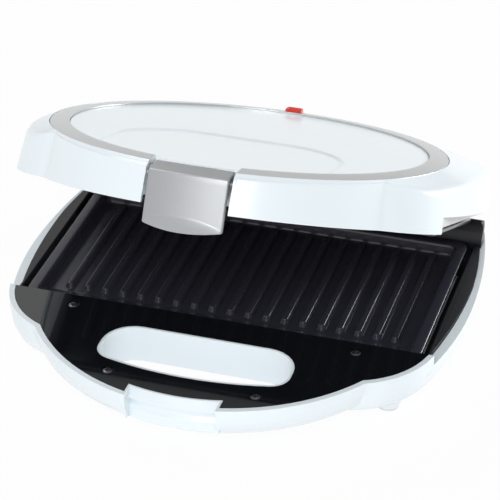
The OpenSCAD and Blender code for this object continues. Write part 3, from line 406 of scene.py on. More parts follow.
def endTree(tree, entry, result):
    real = tree.nodes.new("GeometryNodeRealizeInstances")
    paint = tree.nodes.new("GeometryNodeSetMaterial")
    leave = tree.nodes.new("NodeGroupOutput")
    tree.links.new(result, real.inputs["Geometry"])
    tree.links.new(real.outputs["Geometry"], paint.inputs["Geometry"])
    tree.links.new(entry.outputs["Material"], paint.inputs["Material"])
    tree.links.new(paint.outputs["Geometry"], leave.inputs["Geometry"])
    return tree


def grow(name, tree, sizes, material, spots=((0, 0, 0),), toPlace=toRow, sharp=35, capped=False):
    # runs a tree on points at the spots and keeps the plain mesh, put in its place
    mesh = bpy.data.meshes.new(name)
    mesh.from_pydata(list(spots), [], [])
    obj = bpy.data.objects.new(name, mesh)
    bpy.context.scene.collection.objects.link(obj)
    modifier = obj.modifiers.new("grow", "NODES")
    modifier.node_group = tree
    for item in tree.interface.items_tree:
        if item.item_type == "SOCKET" and item.in_out == "INPUT":
            if item.name in sizes:
                modifier[item.identifier] = sizes[item.name]
            elif item.name == "Material":
                modifier[item.identifier] = material
    graph = bpy.context.evaluated_depsgraph_get()
    plain = bpy.data.meshes.new_from_object(obj.evaluated_get(graph))
    obj.modifiers.remove(modifier)
    obj.data = plain
    bm = bmesh.new()
    bm.from_mesh(plain)
    if capped:
        bmesh.ops.holes_fill(bm, edges=bm.edges, sides=40)    # 40 is more than an open end's points
    for vert in bm.verts:
        vert.co = toPlace(*vert.co)
    bm.normal_update()    # the recalculation starts from the faces' own normals
    bmesh.ops.recalc_face_normals(bm, faces=bm.faces)
    for face in bm.faces:
        face.smooth = True
    bm.to_mesh(plain)
    bm.free()
    plain.materials.clear()
    plain.materials.append(material)
    plain.set_sharp_from_angle(angle=math.radians(sharp))
    return obj


# plan outline of the housing: front arc, groove, ear, side arc, rear corner, rear wall
plan = dict(frontR=113, frontY=25.3, earR=50.7, earX=73.6, earY=9.4, grooveR=7,
            sideX=-97.5, sideY=60.3, rearSideR=345, cornerR=20, fineFrom=-8.0, fineTo=-5.2)
planCounts = dict(front=34, groove=8, ear=30, fine=28, side=16, rearSide=26, corner=16, rear=16)


def toward(p, q):
    return math.atan2(q[1] - p[1], q[0] - p[0])


def planFrame(rear):
    # the arcs' centres; the groove's arc touches those of the front and the ear
    front, ear, side = (0, plan["frontY"]), (plan["earX"], plan["earY"]), (plan["sideX"], plan["sideY"])
    sideR = math.dist(ear, side) + plan["earR"]
    frontReach, earReach = plan["frontR"] + plan["grooveR"], plan["earR"] + plan["grooveR"]
    apart = math.dist(front, ear)
    along = (frontReach * frontReach - earReach * earReach + apart * apart) / (2 * apart)
    off = math.sqrt(frontReach * frontReach - along * along)
    ux, uy = (ear[0] - front[0]) / apart, (ear[1] - front[1]) / apart
    groove = (front[0] + along * ux + off * uy, front[1] + along * uy - off * ux)
    rearSide = (side[0] + sideR - plan["rearSideR"], side[1])
    cornerY = rear - plan["cornerR"]
    reach = plan["rearSideR"] - plan["cornerR"]
    corner = (rearSide[0] + math.sqrt(reach * reach - (cornerY - side[1]) ** 2), cornerY)
    return front, ear, side, sideR, rearSide, groove, corner


def halfPlan(inset, rear, startX):
    # points from startX on the front arc, round the right side, to the middle of the rear wall
    front, ear, side, sideR, rearSide, groove, corner = planFrame(rear)
    counts = planCounts
    points = []

    def arc(c, r, angles):
        for t in angles:
            points.append((c[0] + r * math.cos(t), c[1] + r * math.sin(t)))

    r = plan["frontR"] - inset
    arc(front, r, steps(-math.pi / 2 + math.asin(startX / r), toward(front, groove), counts["front"]))
    arc(groove, plan["grooveR"] + inset,
        steps(toward(groove, front), toward(groove, ear), counts["groove"], 1))
    # close points where the lid's lower edge steps up
    fine = [math.asin((y - ear[1]) / plan["earR"])
            for y in steps(plan["fineFrom"], plan["fineTo"], counts["fine"])]
    arc(ear, plan["earR"] - inset,
        steps(toward(ear, groove), fine[0], counts["ear"], 1) + fine[1:] + [toward(side, ear)])
    arc(side, sideR - inset, steps(toward(side, ear), 0, counts["side"], 1))
    turn = toward(rearSide, corner)
    arc(rearSide, plan["rearSideR"] - inset, steps(0, turn, counts["rearSide"], 1))
    arc(corner, plan["cornerR"] - inset, steps(turn, math.pi / 2, counts["corner"], 1))
    for t in steps(0, 1, counts["rear"], 1):
        points.append((corner[0] * (1 - t), rear - inset))
    return points


# lid housing
lidRule = dict(rear=146, gap=0.4, deckZ=30, sideRaise=9.3, stepFrom=-7.5, stepTo=-5.7, edgeR=0.7,
               draft=2.6, kneeRise=9, kneeShare=0.45, fillet=6.5, leastFillet=1.2, filletShare=0.55,
               shoulderFall=0.28, wall=2.5, innerEdge=0.4, ringR=111.8, ringW=10.9, ringT=2.6,
               seatGap=0.35, ledgeW=3.2, ledgeT=2, ledgeIn=1.5, slotHalf=23.6)


def makeLid():
    rule = lidRule
    lowZ = rule["deckZ"] + rule["gap"]
    sideZ = rule["deckZ"] + rule["sideRaise"]
    centre = (0, ringPlace["centreY"])
    tilt = math.radians(ringPlace["tilt"])

    def planAt(inset):
        return halfPlan(inset, rule["rear"], rule["slotHalf"])

    base, inward = planAt(0), planAt(1)
    count = len(base)
    shift = [(q[0] - p[0], q[1] - p[1]) for p, q in zip(base, inward)]
    tops, fillets, lows = [], [], []
    for p in base:
        out = math.dist(p, centre) - rule["ringR"]
        tops.append(ringPlace["centreZ"] + math.tan(tilt) * (p[1] - centre[1])
                    - rule["shoulderFall"] * max(0, out))
        fitting = rule["filletShare"] * (out - rule["draft"])
        fillets.append(min(rule["fillet"], max(rule["leastFillet"], fitting)))
        rise = smooth((p[1] - rule["stepFrom"]) / (rule["stepTo"] - rule["stepFrom"]))
        lows.append(lerp(lowZ, sideZ, rise))

    def wallInset(i, z):
        # how far the drafted wall stands in from the plan outline at a height
        knee = lowZ + rule["kneeRise"]
        if z <= knee:
            return rule["kneeShare"] * rule["draft"] * (z - lowZ) / rule["kneeRise"]
        start = tops[i] - fillets[i]
        return rule["draft"] * lerp(rule["kneeShare"], 1, (z - knee) / (start - knee))

    def moved(i, inset):
        # the first point slides along the slot's wall
        if i == 0:
            return planAt(inset)[0]
        return (base[i][0] + shift[i][0] * inset, base[i][1] + shift[i][1] * inset)

    def wallSpot(i, z):
        return (*moved(i, wallInset(i, z)), z)

    def seat(i, r, h):
        # a spot on the ring's seat; h is its height over the ring's plane
        if i == 0:
            return ringWork(rule["slotHalf"], -math.sqrt(r * r - rule["slotHalf"] ** 2), h)
        a = math.atan2(base[i][1] - centre[1], base[i][0])
        return ringWork(r * math.cos(a), r * math.sin(a), h)

    rings = []

    def addRing(spot):
        rings.append([spot(i) for i in range(count)])

    e, w, lip = rule["edgeR"], rule["wall"], rule["innerEdge"]
    for s, c in turns(0, 22.5, 45, 67.5, 90):    # rounded lower edge, outside
        addRing(lambda i: (*moved(i, wallInset(i, lows[i]) + e * (1 - s)), lows[i] + e * (1 - c)))
    for t in (0.12, 0.25, 0.4, 0.55, 0.7, 0.85):    # drafted wall
        addRing(lambda i: wallSpot(i, lerp(lows[i] + e, tops[i] - fillets[i], t)))
    for s, c in turns(0, 9, 18, 27, 36, 45, 54, 63, 72):    # rounded shoulder
        addRing(lambda i: (*moved(i, rule["draft"] + fillets[i] * (1 - c)),
                           tops[i] - fillets[i] + fillets[i] * s))
    shoulder = rings[-1]
    seatR = rule["ringR"] + rule["seatGap"]
    rim = [(0.3, 0.05), (0.06, -0.05), (0, -0.3), (0, -rule["ringT"])]    # out from the seat, height
    for t in (0.33, 0.66):    # top face, between the shoulder and the rim of the ring's seat
        addRing(lambda i: tuple(lerp(a, b, t) for a, b in
                                zip(shoulder[i], seat(i, seatR + rim[0][0], rim[0][1]))))
    for r, h in rim:
        addRing(lambda i: seat(i, seatR + r, h))
    ledgeR = rule["ringR"] - rule["ringW"] - rule["ledgeW"]
    under = -rule["ringT"] - rule["ledgeT"]
    for r, h in ((ledgeR, -rule["ringT"]), (ledgeR, under), (seatR - rule["ledgeIn"], under)):
        addRing(lambda i: seat(i, r, h))
    for s, c in turns(50, 0):    # inner face
        addRing(lambda i: (*moved(i, rule["draft"] + w + fillets[i] * (1 - c)),
                           tops[i] - w - fillets[i] + fillets[i] * s))
    addRing(lambda i: (*moved(i, wallInset(i, lows[i]) + w), lows[i] + lip))
    addRing(lambda i: (*moved(i, wallInset(i, lows[i]) + w - lip), lows[i]))
    points = [toLid(*p) for ring in rings for p in ring]
    faces = []
    m = len(rings)
    for k in range(m):
        for i in range(count - 1):
            a, b = k * count + i, (k + 1) % m * count + i
            faces.append((a, a + 1, b + 1, b))
    faces.append([k * count for k in range(m)])    # wall end at the latch slot
    mirrored = [Vector((-p.x, p.y, p.z)) for p in points]
    offset = len(points)
    faces += [tuple(offset + v for v in reversed(f)) for f in faces]
    return meshObject("lidHousing", points + mirrored, faces, white)


lidHousing = soften(makeLid(), 0.5, angle=50)
print("lid housing:", len(lidHousing.data.polygons), "faces")
settle(lidHousing, "lid", ["lid_shell"])

# ring
ringRule = {"Outer Radius": 111.8, "Width": 10.9, "Crown": 1.05, "Thickness": 2.65, "Edge": 0.6,
            "Lift": 0.1, "Gap Half Width": 23.6}


def ringTree():
    # the section runs from the outer lower corner over the face to the inner lower corner and back
    tree, entry = newTree("ringBand", ringRule)
    size = entry.outputs
    mesh, u, v = unitGrid(tree, 241, 11)
    inward = follow(tree, v, (0, 0, 0, 0, 0, 0.9, 0.96, 1, 1, 1, 0))
    rise = follow(tree, v, (0, 0, 0, 0, 0, 0.9, 0.96, 1, 1, 0, 0))
    drop = follow(tree, v, (1, 0, 0, 0, 0, 0, 0, 0, 0, 1, 1))
    edgeIn = follow(tree, v, (0, 0, 0.13, 0.5, 1, 0, 0, 0, 0, 0, 0))
    edgeDown = follow(tree, v, (0, 1, 0.5, 0.13, 0, 0, 0, 0.18, 0.7, 0, 0))
    radius = calc(tree, "SUBTRACT", size["Outer Radius"], calc(tree, "MULTIPLY", inward, size["Width"]))
    radius = calc(tree, "SUBTRACT", radius, calc(tree, "MULTIPLY", edgeIn, size["Edge"]))
    height = calc(tree, "MULTIPLY_ADD", rise, size["Crown"], size["Lift"])
    height = calc(tree, "SUBTRACT", height, calc(tree, "MULTIPLY", drop, size["Thickness"]))
    height = calc(tree, "SUBTRACT", height, calc(tree, "MULTIPLY", edgeDown, size["Edge"]))
    start = calc(tree, "ARCSINE", calc(tree, "DIVIDE", size["Gap Half Width"], radius))
    sweep = calc(tree, "SUBTRACT", 2 * math.pi, calc(tree, "MULTIPLY", start, 2.0))
    angle = calc(tree, "SUBTRACT", calc(tree, "MULTIPLY_ADD", u, sweep, start), math.pi / 2)
    return endTree(tree, entry, bend(tree, mesh, *polar(tree, radius, angle), height))


silverRing = grow("silverRing", ringTree(), ringRule, ringSilver, toPlace=ringPoint, sharp=50, capped=True)
settle(silverRing, "lid", ["trim_ring"])

# top panel with its arched hollow
panelRule = dict(radius=100.75, top=0.15, low=-2.55, bevel=0.9, hollowHalf=63, hollowBack=-5,
                 hollowCorner=40, hollowDeep=0.8, soft=2.0, centreY=-46, columns=420)


def makePanel():
    rule = panelRule
    corner, soft, bevel, cy = rule["hollowCorner"], rule["soft"], rule["bevel"], rule["centreY"]
    edge = rule["radius"] - bevel

    def inside(x, y):
        # distance inward from the hollow's outline
        qx, qy = abs(x) - rule["hollowHalf"] + corner, y - rule["hollowBack"] + corner
        return corner - math.hypot(max(qx, 0), max(qy, 0)) - min(max(qx, qy), 0)

    def height(x, y):
        return rule["top"] - rule["hollowDeep"] * smooth(0.5 + inside(x, y) / (2 * soft))

    def makeColumn(dx, dy):
        # points from near the hollow's middle out to the panel's lower edge
        reach = -cy * dy + math.sqrt(edge * edge - cy * cy * (1 - dy * dy))

        def spotAt(distance):
            # how far out the hollow's outline is this far away
            low, high = 0.0, reach
            if inside(dx * high, cy + dy * high) > distance:
                return high
            for _ in range(34):
                mid = (low + high) / 2
                if inside(dx * mid, cy + dy * mid) > distance:
                    low = mid
                else:
                    high = mid
            return high

        brink = spotAt(soft + 0.4)
        stops = [brink * t for t in (0.25, 0.5, 0.75, 0.9, 1)]
        stops += [spotAt(soft * (1 - d / 4)) for d in range(9)]
        last = stops[-1]
        stops += [lerp(last, reach, t) for t in (0.06, 0.3, 0.65, 1)]
        points = [ringPoint(dx * t, cy + dy * t, height(dx * t, cy + dy * t)) for t in stops]
        x, y = dx * reach, cy + dy * reach
        brim = height(x, y)
        for dr, dz in ((bevel * 0.4, 0.04), (bevel * 0.75, 0.2), (bevel * 0.95, 0.5), (bevel, 0.9)):
            grown = (edge + dr) / edge
            points.append(ringPoint(x * grown, y * grown, brim - dz))
        points.append(ringPoint(x * (edge + bevel) / edge, y * (edge + bevel) / edge, rule["low"]))
        return points

    n = rule["columns"]
    angles = [2 * math.pi * (i + 0.5) / n for i in range(n)]
    columns = [makeColumn(math.cos(a), math.sin(a)) for a in angles]
    m = len(columns[0])
    points = [ringPoint(0, cy, height(0, cy))] + [p for column in columns for p in column]
    faces = []
    for i in range(n):
        a, b = 1 + i * m, 1 + (i + 1) % n * m
        faces.append((0, a, b))
        for j in range(m - 1):
            faces.append((a + j, a + j + 1, b + j + 1, b + j))
    faces.append([i * m + m for i in range(n)])    # underside
    return meshObject("topPanel", points, faces, white)


settle(makePanel(), "lid", ["top_panel"])
print("ring and panel made")

# walls of the latch's pocket
pocketRule = dict(half=23.6, wall=2, frontY=-82.6, backY=-68.5, lowZ=34, topDrop=2.75, edgeR=0.3)


def makePocket():
    rule = pocketRule
    rise = math.tan(math.radians(ringPlace["tilt"]))
    points, faces = [], []

    def block(x0, x1, y0, y1):
        a, low = len(points), rule["lowZ"]
        for y in (y0, y1):
            top = ringPlace["centreZ"] + (y - ringPlace["centreY"]) * rise - rule["topDrop"]
            points.extend(toLid(x, y, z) for x, z in ((x0, low), (x1, low), (x1, top), (x0, top)))
        faces.extend([(a, a + 1, a + 2, a + 3), (a + 7, a + 6, a + 5, a + 4)])
        for i in range(4):
            k = (i + 1) % 4
            faces.append((a + i, a + 4 + i, a + 4 + k, a + k))

    half, out = rule["half"], rule["half"] + rule["wall"]
    block(half, out, rule["frontY"], rule["backY"])
    block(-out, -half, rule["frontY"], rule["backY"])
    block(-half, half, rule["backY"] - rule["wall"], rule["backY"])
    return soften(meshObject("latchPocket", points, faces, white, False), rule["edgeR"], segments=2)


settle(makePocket(), "lid", [])

# latch: a face on the front arc, a scooped finger lip, cheeks round the pin and a hook
latchRule = dict(half=21.7, faceR=112.7, faceLean=1 / 60, topZ=48.5, backY=-74.4, backZ=52.7, lowZ=18.3,
                 cornerRise=2.4, scoopZ=26.4, scoopFall=4.2, scoopCurve=1.2, scoopEnd=0.6, lipOut=3.3,
                 lipLeast=0.2, skin=2.6, round=0.6, lowRound=0.35, columns=64, cheek=3, cheekGap=0.15,
                 cheekLowZ=38.4, cheekTopZ=51.6, pinY=-77.5, pinZ=46, eyeR=3.4, hookHalf=14,
                 hook=((106.7, 22.5), (111.3, 24.1), (111.3, 20.8), (107.2, 20.6)))


def makeLatch():
    rule = latchRule
    half, e, backY = rule["half"], rule["round"], rule["backY"]

    def faceY(x, z, behind=0.0):
        radius = rule["faceR"] - rule["faceLean"] * z - behind
        return plan["frontY"] - math.sqrt(radius * radius - x * x)

    def column(x, inset):
        # the latch's section at x; the inset draws it in to round the latch's sides
        k = (x / half) ** 2
        low = rule["lowZ"] + rule["cornerRise"] * k + inset
        arc = rule["scoopZ"] - rule["scoopFall"] * k
        out = rule["lipOut"] * (1 - k) + rule["lipLeast"]

        def outer(z):
            t = min(1, max(0, (arc - z) / (arc - low)))
            return faceY(x, z) - out * t ** rule["scoopCurve"] + inset

        top, back = rule["topZ"] - inset, backY - inset
        rise = low + rule["lowRound"]
        calm = arc + rule["scoopEnd"]
        path = [(outer(low) + dy, low + dz) for dy, dz in ((1.9, 0.1), (0.8, 0), (0.3, 0.05))]
        path += [(outer(z), z) for z in steps(rise, calm, 16)]
        path += [(outer(z), z) for z in steps(calm, top - e, 8, 1)]
        y0 = outer(top - e)
        slope = (rule["backZ"] - rule["topZ"]) / (backY - y0)
        path += [(y0 + e * (1 - c), top - e + e * s + e * (1 - c) * slope) for s, c in turns(25, 50, 75)]
        path += [(y, top + (y - y0) * slope) for y in steps(y0 + 1.2 * e, back - 0.5, 5)]
        backTop = top + (back - y0) * slope
        path += [(back - dy, backTop - dz) for dy, dz in ((0.1, 0.15), (0, 0.6), (0, 1.8))]
        inner = faceY(x, top, rule["skin"]) - inset
        path += [(inner + dy, top - dz) for dy, dz in ((3.5, 0.9), (0.8, 2.2), (0, 3.4))]
        path += [(faceY(x, z, rule["skin"]) - inset, z) for z in steps(top - 5, low + 3, 6)]
        return [(x, y, z) for y, z in path]

    points, faces = [], []
    sides = ((0, 0.45), (0.12, 0.2), (0.35, 0.05))    # distance from the side, inset
    middle = half - 0.7
    loops = [column(d - half, inset) for d, inset in sides]
    loops += [column(x, 0) for x in steps(-middle, middle, rule["columns"])]
    loops += [column(half - d, inset) for d, inset in reversed(sides)]
    skinLoops(loops, toLid, points, faces)

    cheekY, lowZ, topZ = faceY(half, 40), rule["cheekLowZ"], rule["cheekTopZ"]
    outline = [(cheekY + 1, lowZ + 0.6), (cheekY + 4, lowZ)]
    outline += [(rule["pinY"] + rule["eyeR"] * math.cos(t), rule["pinZ"] + rule["eyeR"] * math.sin(t))
                for t in steps(math.radians(-75), math.radians(25), 8)]
    outline += [(backY - 0.2, topZ - 1.2), (backY - 0.4, topZ), (cheekY + 1, topZ - 4)]
    for side in (-1, 1):
        spans = sorted((side * (half - rule["cheek"]), side * (half - rule["cheekGap"])))
        skinLoops([[(x, y, z) for y, z in outline] for x in spans], toLid, points, faces)
    skinLoops([[(x, plan["frontY"] - math.sqrt(r * r - x * x), z) for r, z in rule["hook"]]
               for x in steps(-rule["hookHalf"], rule["hookHalf"], 16)], toLid, points, faces)
    latch = meshObject("latchBody", points, faces, latchSilver)
    latch.data.set_sharp_from_angle(angle=math.radians(40))
    return latch


settle(makeLatch(), "latch", ["latch"])
print("latch made")

# grill plates: a lofted pan with a row of ribs
panRule = dict(half=115.4, front=1, back=126, cornerR=6, rim=6.6, rimThick=2.4, edgeR=0.8, bevel=0.4,
               depth=7.7, floor=3, slopeFront=13.5, slopeBack=1.6, slopeSide=1.8, ribMiddle=69.25,
               lowerZ=26.7, upperZ=27.7)
ribRule = {"Rib Length": 96.5, "Height": 3.0, "Foot Width": 6.0, "Top Width": 3.4, "Pitch": 10.7,
           "Root": 0.37, "Count": 19}


def ribTree():
    # round the rib, and up from under its foot to the middle of its top; a root goes into the floor
    around = 28
    tree, entry = newTree("ribRow", ribRule)
    size = entry.outputs
    mesh, u, v = unitGrid(tree, around + 1, 9)
    top = follow(tree, v, (0, 1, 1, 1, 1, 1, 0.93, 0.78, 0))
    foot = follow(tree, v, (0, 1, 1, 0.62, 0.2, 0.04, 0, 0, 0))
    rise = follow(tree, v, (0, 0, 0.27, 0.5, 0.8, 0.93, 0.985, 1, 1))
    extra = calc(tree, "MULTIPLY", calc(tree, "SUBTRACT", size["Foot Width"], size["Top Width"]), 0.5)
    radius = calc(tree, "MULTIPLY", calc(tree, "MULTIPLY", top, 0.5), size["Top Width"])
    radius = calc(tree, "MULTIPLY_ADD", foot, extra, radius)
    angle = calc(tree, "MULTIPLY_ADD", u, 2 * math.pi, math.pi / around)
    x, y = polar(tree, radius, angle)
    straight = calc(tree, "MULTIPLY", calc(tree, "SUBTRACT", size["Rib Length"], size["Foot Width"]), 0.5)
    y = calc(tree, "MULTIPLY_ADD", calc(tree, "SIGN", calc(tree, "SINE", angle)), straight, y)
    whole = calc(tree, "ADD", size["Root"], 1.0)
    z = calc(tree, "SUBTRACT", calc(tree, "MULTIPLY", rise, whole), size["Root"])
    rib = bend(tree, mesh, x, y, calc(tree, "MULTIPLY", z, size["Height"]))
    line = tree.nodes.new("GeometryNodeMeshLine")
    step = tree.nodes.new("ShaderNodeCombineXYZ")
    start = tree.nodes.new("ShaderNodeCombineXYZ")
    back = calc(tree, "MULTIPLY", calc(tree, "SUBTRACT", size["Count"], 1.0), -0.5)
    tree.links.new(size["Pitch"], step.inputs["X"])
    tree.links.new(calc(tree, "MULTIPLY", back, size["Pitch"]), start.inputs["X"])
    tree.links.new(size["Count"], line.inputs["Count"])
    tree.links.new(step.outputs["Vector"], line.inputs["Offset"])
    tree.links.new(start.outputs["Vector"], line.inputs["Start Location"])
    return endTree(tree, entry, repeatAt(tree, line.outputs["Mesh"], rib))


def rectLoop(half, y0, y1, r, n=7):
    # a rectangle with round corners, from its front right corner round
    side, front, back = half - r, y0 + r, y1 - r
    loop = []
    for cx, cy, a in ((side, front, -90), (side, back, 0), (-side, back, 90), (-side, front, 180)):
        for t in steps(math.radians(a), math.radians(a + 90), n):
            loop.append((cx + r * math.cos(t), cy + r * math.sin(t)))
    return loop


def makePan(name, level, up, toPlace):
    # up is 1 for the lower plate, whose cavity opens upwards, and -1 for the upper one
    rule = panRule
    half, y0, y1 = rule["half"], rule["front"], rule["back"]
    inner, depth, thick = half - rule["rim"], rule["depth"], rule["rimThick"]
    under = -depth - rule["floor"]
    front, rear = y0 + 2.5, y1 - 5.4    # the cavity's
    loops = []

    def ring(x, a, b, r, z):
        # half width, front, back, corner radius, and height over the rim's top
        loops.append([(px, py, level + up * z) for px, py in rectLoop(x, a, b, r)])

    def edgeRing(inset, z):
        ring(half - inset, y0 + inset, y1 - inset, rule["cornerR"] - inset, z)

    ring(inner - 6, y0 + 8, y1 - 10, 2, under)    # underside, then the outer wall
    ring(inner + 0.9, y0 + 1.5, y1 - 4, 4.5, under)
    ring(inner + 1.4, y0 + 1, y1 - 3.5, 5, under + 0.5)
    ring(inner + 1.4, y0 + 1, y1 - 3.5, 5, -thick - 0.3)
    ring(inner + 1.7, y0 + 0.8, y1 - 3.3, 5, -thick)
    edgeRing(rule["bevel"], -thick)    # rim
    edgeRing(0, -thick + rule["bevel"])
    for s, c in turns(0, 30, 60, 90):
        edgeRing(rule["edgeR"] * (1 - c), -rule["edgeR"] * (1 - s))
    ring(inner + 1.3, front - 1.2, rear + 1.3, 4.2, 0)    # cavity, with its long slope at the front
    ring(inner + 0.7, front - 0.4, rear + 0.7, 3.6, -0.08)
    ring(inner + 0.2, front + 0.5, rear + 0.2, 3.2, -0.4)
    for t in (0.12, 0.3, 0.5, 0.7, 0.84):
        ring(inner - rule["slopeSide"] * t, front + rule["slopeFront"] * t, rear - rule["slopeBack"] * t,
             3.2, -depth * t)
    ring(inner - 2.1, front + 13.3, rear - 2.0, 3.4, -depth * 0.94)
    ring(inner - 2.9, front + 14.4, rear - 2.9, 4, -depth * 0.99)
    ring(inner - 4.2, front + 15.8, rear - 4.2, 4.5, -depth)
    points, faces = [], []
    skinLoops(loops, toPlace, points, faces)
    pan = meshObject(name, points, faces, nonStickBlack)
    pan.data.set_sharp_from_angle(angle=math.radians(50))
    return pan


ribs = ribTree()


def makePlate(name, level, up, toPlace, body, node):
    settle(makePan(name, level, up, toPlace), body, [node])
    floorZ = level - up * panRule["depth"]
    row = grow(name + "Ribs", ribs, ribRule, nonStickBlack, sharp=60,
               toPlace=lambda x, y, z: toPlace(x, y + panRule["ribMiddle"], floorZ + up * z))
    settle(row, body, [])


makePlate("lowerPlate", panRule["lowerZ"], 1, toRow, "base", "lower_plate")
makePlate("upperPlate", panRule["upperZ"], -1, toLid, "lid", "upper_plate")
print("plates made")

# screws and foot pads
screwRule = {"Head Radius": 2.9, "Head Height": 1.5, "Shank Radius": 1.4, "Shank Length": 8.0,
             "Slot Width": 0.75, "Slot Depth": 0.75}
padRule = {"Radius": 6.2, "Height": 2.0}
padSpots = ((101.5, -11), (96, 128))    # those of the right side


def bothSides(spots):
    return [(side * x, y, 0) for x, y in spots for side in (1, -1)]


def screwTree():
    tree, entry = newTree("crossScrew", screwRule)
    size = entry.outputs
    mesh, u, v = unitGrid(tree, 29, 12)
    head = follow(tree, v, (0, 0, 0, 0, 0, 0.9, 0.98, 1, 0.96, 0.8, 0.5, 0))
    shank = follow(tree, v, (0, 0.8, 1, 1, 1, 0, 0, 0, 0, 0, 0, 0))
    rise = follow(tree, v, (0, 0, 0, 0, 0, 0, 0.05, 0.35, 0.62, 0.85, 0.97, 1))
    drop = follow(tree, v, (1, 1, 0.94, 0.5, 0, 0, 0, 0, 0, 0, 0, 0))
    radius = calc(tree, "MULTIPLY", head, size["Head Radius"])
    radius = calc(tree, "MULTIPLY_ADD", shank, size["Shank Radius"], radius)
    z = calc(tree, "MULTIPLY", rise, size["Head Height"])
    z = calc(tree, "SUBTRACT", z, calc(tree, "MULTIPLY", drop, size["Shank Length"]))
    body = bend(tree, mesh, *polar(tree, radius, calc(tree, "MULTIPLY", u, 2 * math.pi)), z)
    cut = tree.nodes.new("GeometryNodeMeshBoolean")
    cut.operation = "DIFFERENCE"
    cut.solver = "EXACT"    # closes the slots' floor, where the two bars' faces lie in one plane
    tree.links.new(body, cut.inputs["Mesh 1"])
    long = calc(tree, "MULTIPLY", size["Head Radius"], 1.15)    # the cross stays inside the head
    for turned in (False, True):
        bar = tree.nodes.new("GeometryNodeMeshCube")
        extent = tree.nodes.new("ShaderNodeCombineXYZ")
        tree.links.new(long, extent.inputs["Y" if turned else "X"])
        tree.links.new(size["Slot Width"], extent.inputs["X" if turned else "Y"])
        tree.links.new(calc(tree, "MULTIPLY", size["Slot Depth"], 2.0), extent.inputs["Z"])
        tree.links.new(extent.outputs["Vector"], bar.inputs["Size"])
        lift = tree.nodes.new("GeometryNodeTransform")
        offset = tree.nodes.new("ShaderNodeCombineXYZ")
        tree.links.new(size["Head Height"], offset.inputs["Z"])
        tree.links.new(bar.outputs["Mesh"], lift.inputs["Geometry"])
        tree.links.new(offset.outputs["Vector"], lift.inputs["Translation"])
        tree.links.new(lift.outputs["Geometry"], cut.inputs["Mesh 2"])
    return endTree(tree, entry, repeatAt(tree, entry.outputs["Geometry"], weld(tree, cut.outputs["Mesh"])))


def padTree():
    tree, entry = newTree("footPad", padRule)
    size = entry.outputs
    mesh, u, v = unitGrid(tree, 49, 9)
    wide = follow(tree, v, (0, 0.9, 0.97, 1, 1, 1, 0.98, 0.93, 0))
    rise = follow(tree, v, (0, 0, 0.06, 0.22, 0.5, 0.8, 0.95, 1, 1))
    radius = calc(tree, "MULTIPLY", wide, size["Radius"])
    pad = bend(tree, mesh, *polar(tree, radius, calc(tree, "MULTIPLY", u, 2 * math.pi)),
               calc(tree, "MULTIPLY", rise, size["Height"]))
    return endTree(tree, entry, repeatAt(tree, entry.outputs["Geometry"], pad))


crossScrew = screwTree()
screwSets = [
    # piece, node, body, head radius and height, shank length, seat height, up, spots of the right side
    ("deckScrews", "deck_screws", "base", 2.9, 1.5, 8.0, 28.52, 1, ((82, -9.4), (41.6, -65))),
    ("plateScrewsLow", "lower_plate_screws", "base", 3.2, 1.6, 5.0, 12.78, -1, ((102.4, 12), (102.4, 112))),
    ("coverScrews", "cover_screws", "base", 3.2, 1.6, 5.9, 8.98, -1, ((62, -42), (108, 30), (108, 105))),
    ("lidScrews", "lid_screws", "lid", 3.2, 1.6, 10.1, 39.68, -1, ((114, 14), (114, 96))),
    ("plateScrewsHigh", "upper_plate_screws", "lid", 3.2, 1.6, 5.2, 41.72, 1, ((102.4, 12), (102.4, 112))),
]
for piece, node, body, headR, headH, length, seatZ, up, spots in screwSets:
    toPlace = toLid if body == "lid" else toRow
    sizes = dict(screwRule, **{"Head Radius": headR, "Head Height": headH, "Shank Length": length})
    screws = grow(piece, crossScrew, sizes, screwSteel, bothSides(spots),
                  toPlace=lambda x, y, z: toPlace(x, y, seatZ + up * z))
    settle(screws, body, [node])
settle(grow("footPads", padTree(), padRule, rubber, bothSides(padSpots)), "base", ["foot_pads"])
print("screws and pads made")

# mouldings that keep their drawn shape, with rounded edges
mouldings = [
    # node, piece, material, edge radius, body, slot
    ("base_shell", "baseHousing", white, 0.45, "base", "white_gloss"),
    ("front_deck", "frontDeck", deckBlack, 0.35, "base", "gloss_black"),
    ("base_frame", "sideFrame", frameBlack, 0.3, "base", "satin_black"),
    ("hinge_housing", "hingeHousing", frameBlack, 0.7, "base", "satin_black"),
    ("bottom_cover", "bottomCover", white, 0.4, "base", "white_gloss"),
    # the lid frame's pale grey is painted shade, darker than the white housing
    ("lid_frame", "lidFrame", paintedShadeGrey, 0.3, "lid", "light_grey"),
]
for node, piece, material, width, body, slotName in mouldings:
    moulding = fromNode(node, piece, material, width)
    settle(moulding, body, [node])
    print(piece, len(moulding.data.polygons), "faces")

# small pieces that stay as they are drawn, with their finishes
smallPieces = {"lower_element": plainSteel, "upper_element": plainSteel, "lower_reflector": sheetMirror,
               "upper_reflector": sheetMirror, "thermostat": plainSteel, "thermal_fuse": ceramic,
               "terminal_block": ceramic, "hinge_pins": plainSteel, "cord_gland": rubber,
               "indicator_lens": lensRed, "indicator_lamp": lampGlass, "latch_pin": plainSteel,
               "latch_spring": plainSteel}
for node, material in smallPieces.items():
    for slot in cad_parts[node].material_slots:
        slot.material = material
print("small pieces finished")

# camera, light and floor
cameraRule = dict(azimuth=16.7147, elevation=31.655, roll=0.2454, distance=1294.62, focal=2379.57,
                  pictureWidth=500, sensor=36, near=0.05, far=50, target=(18.664, 0, 78.353))


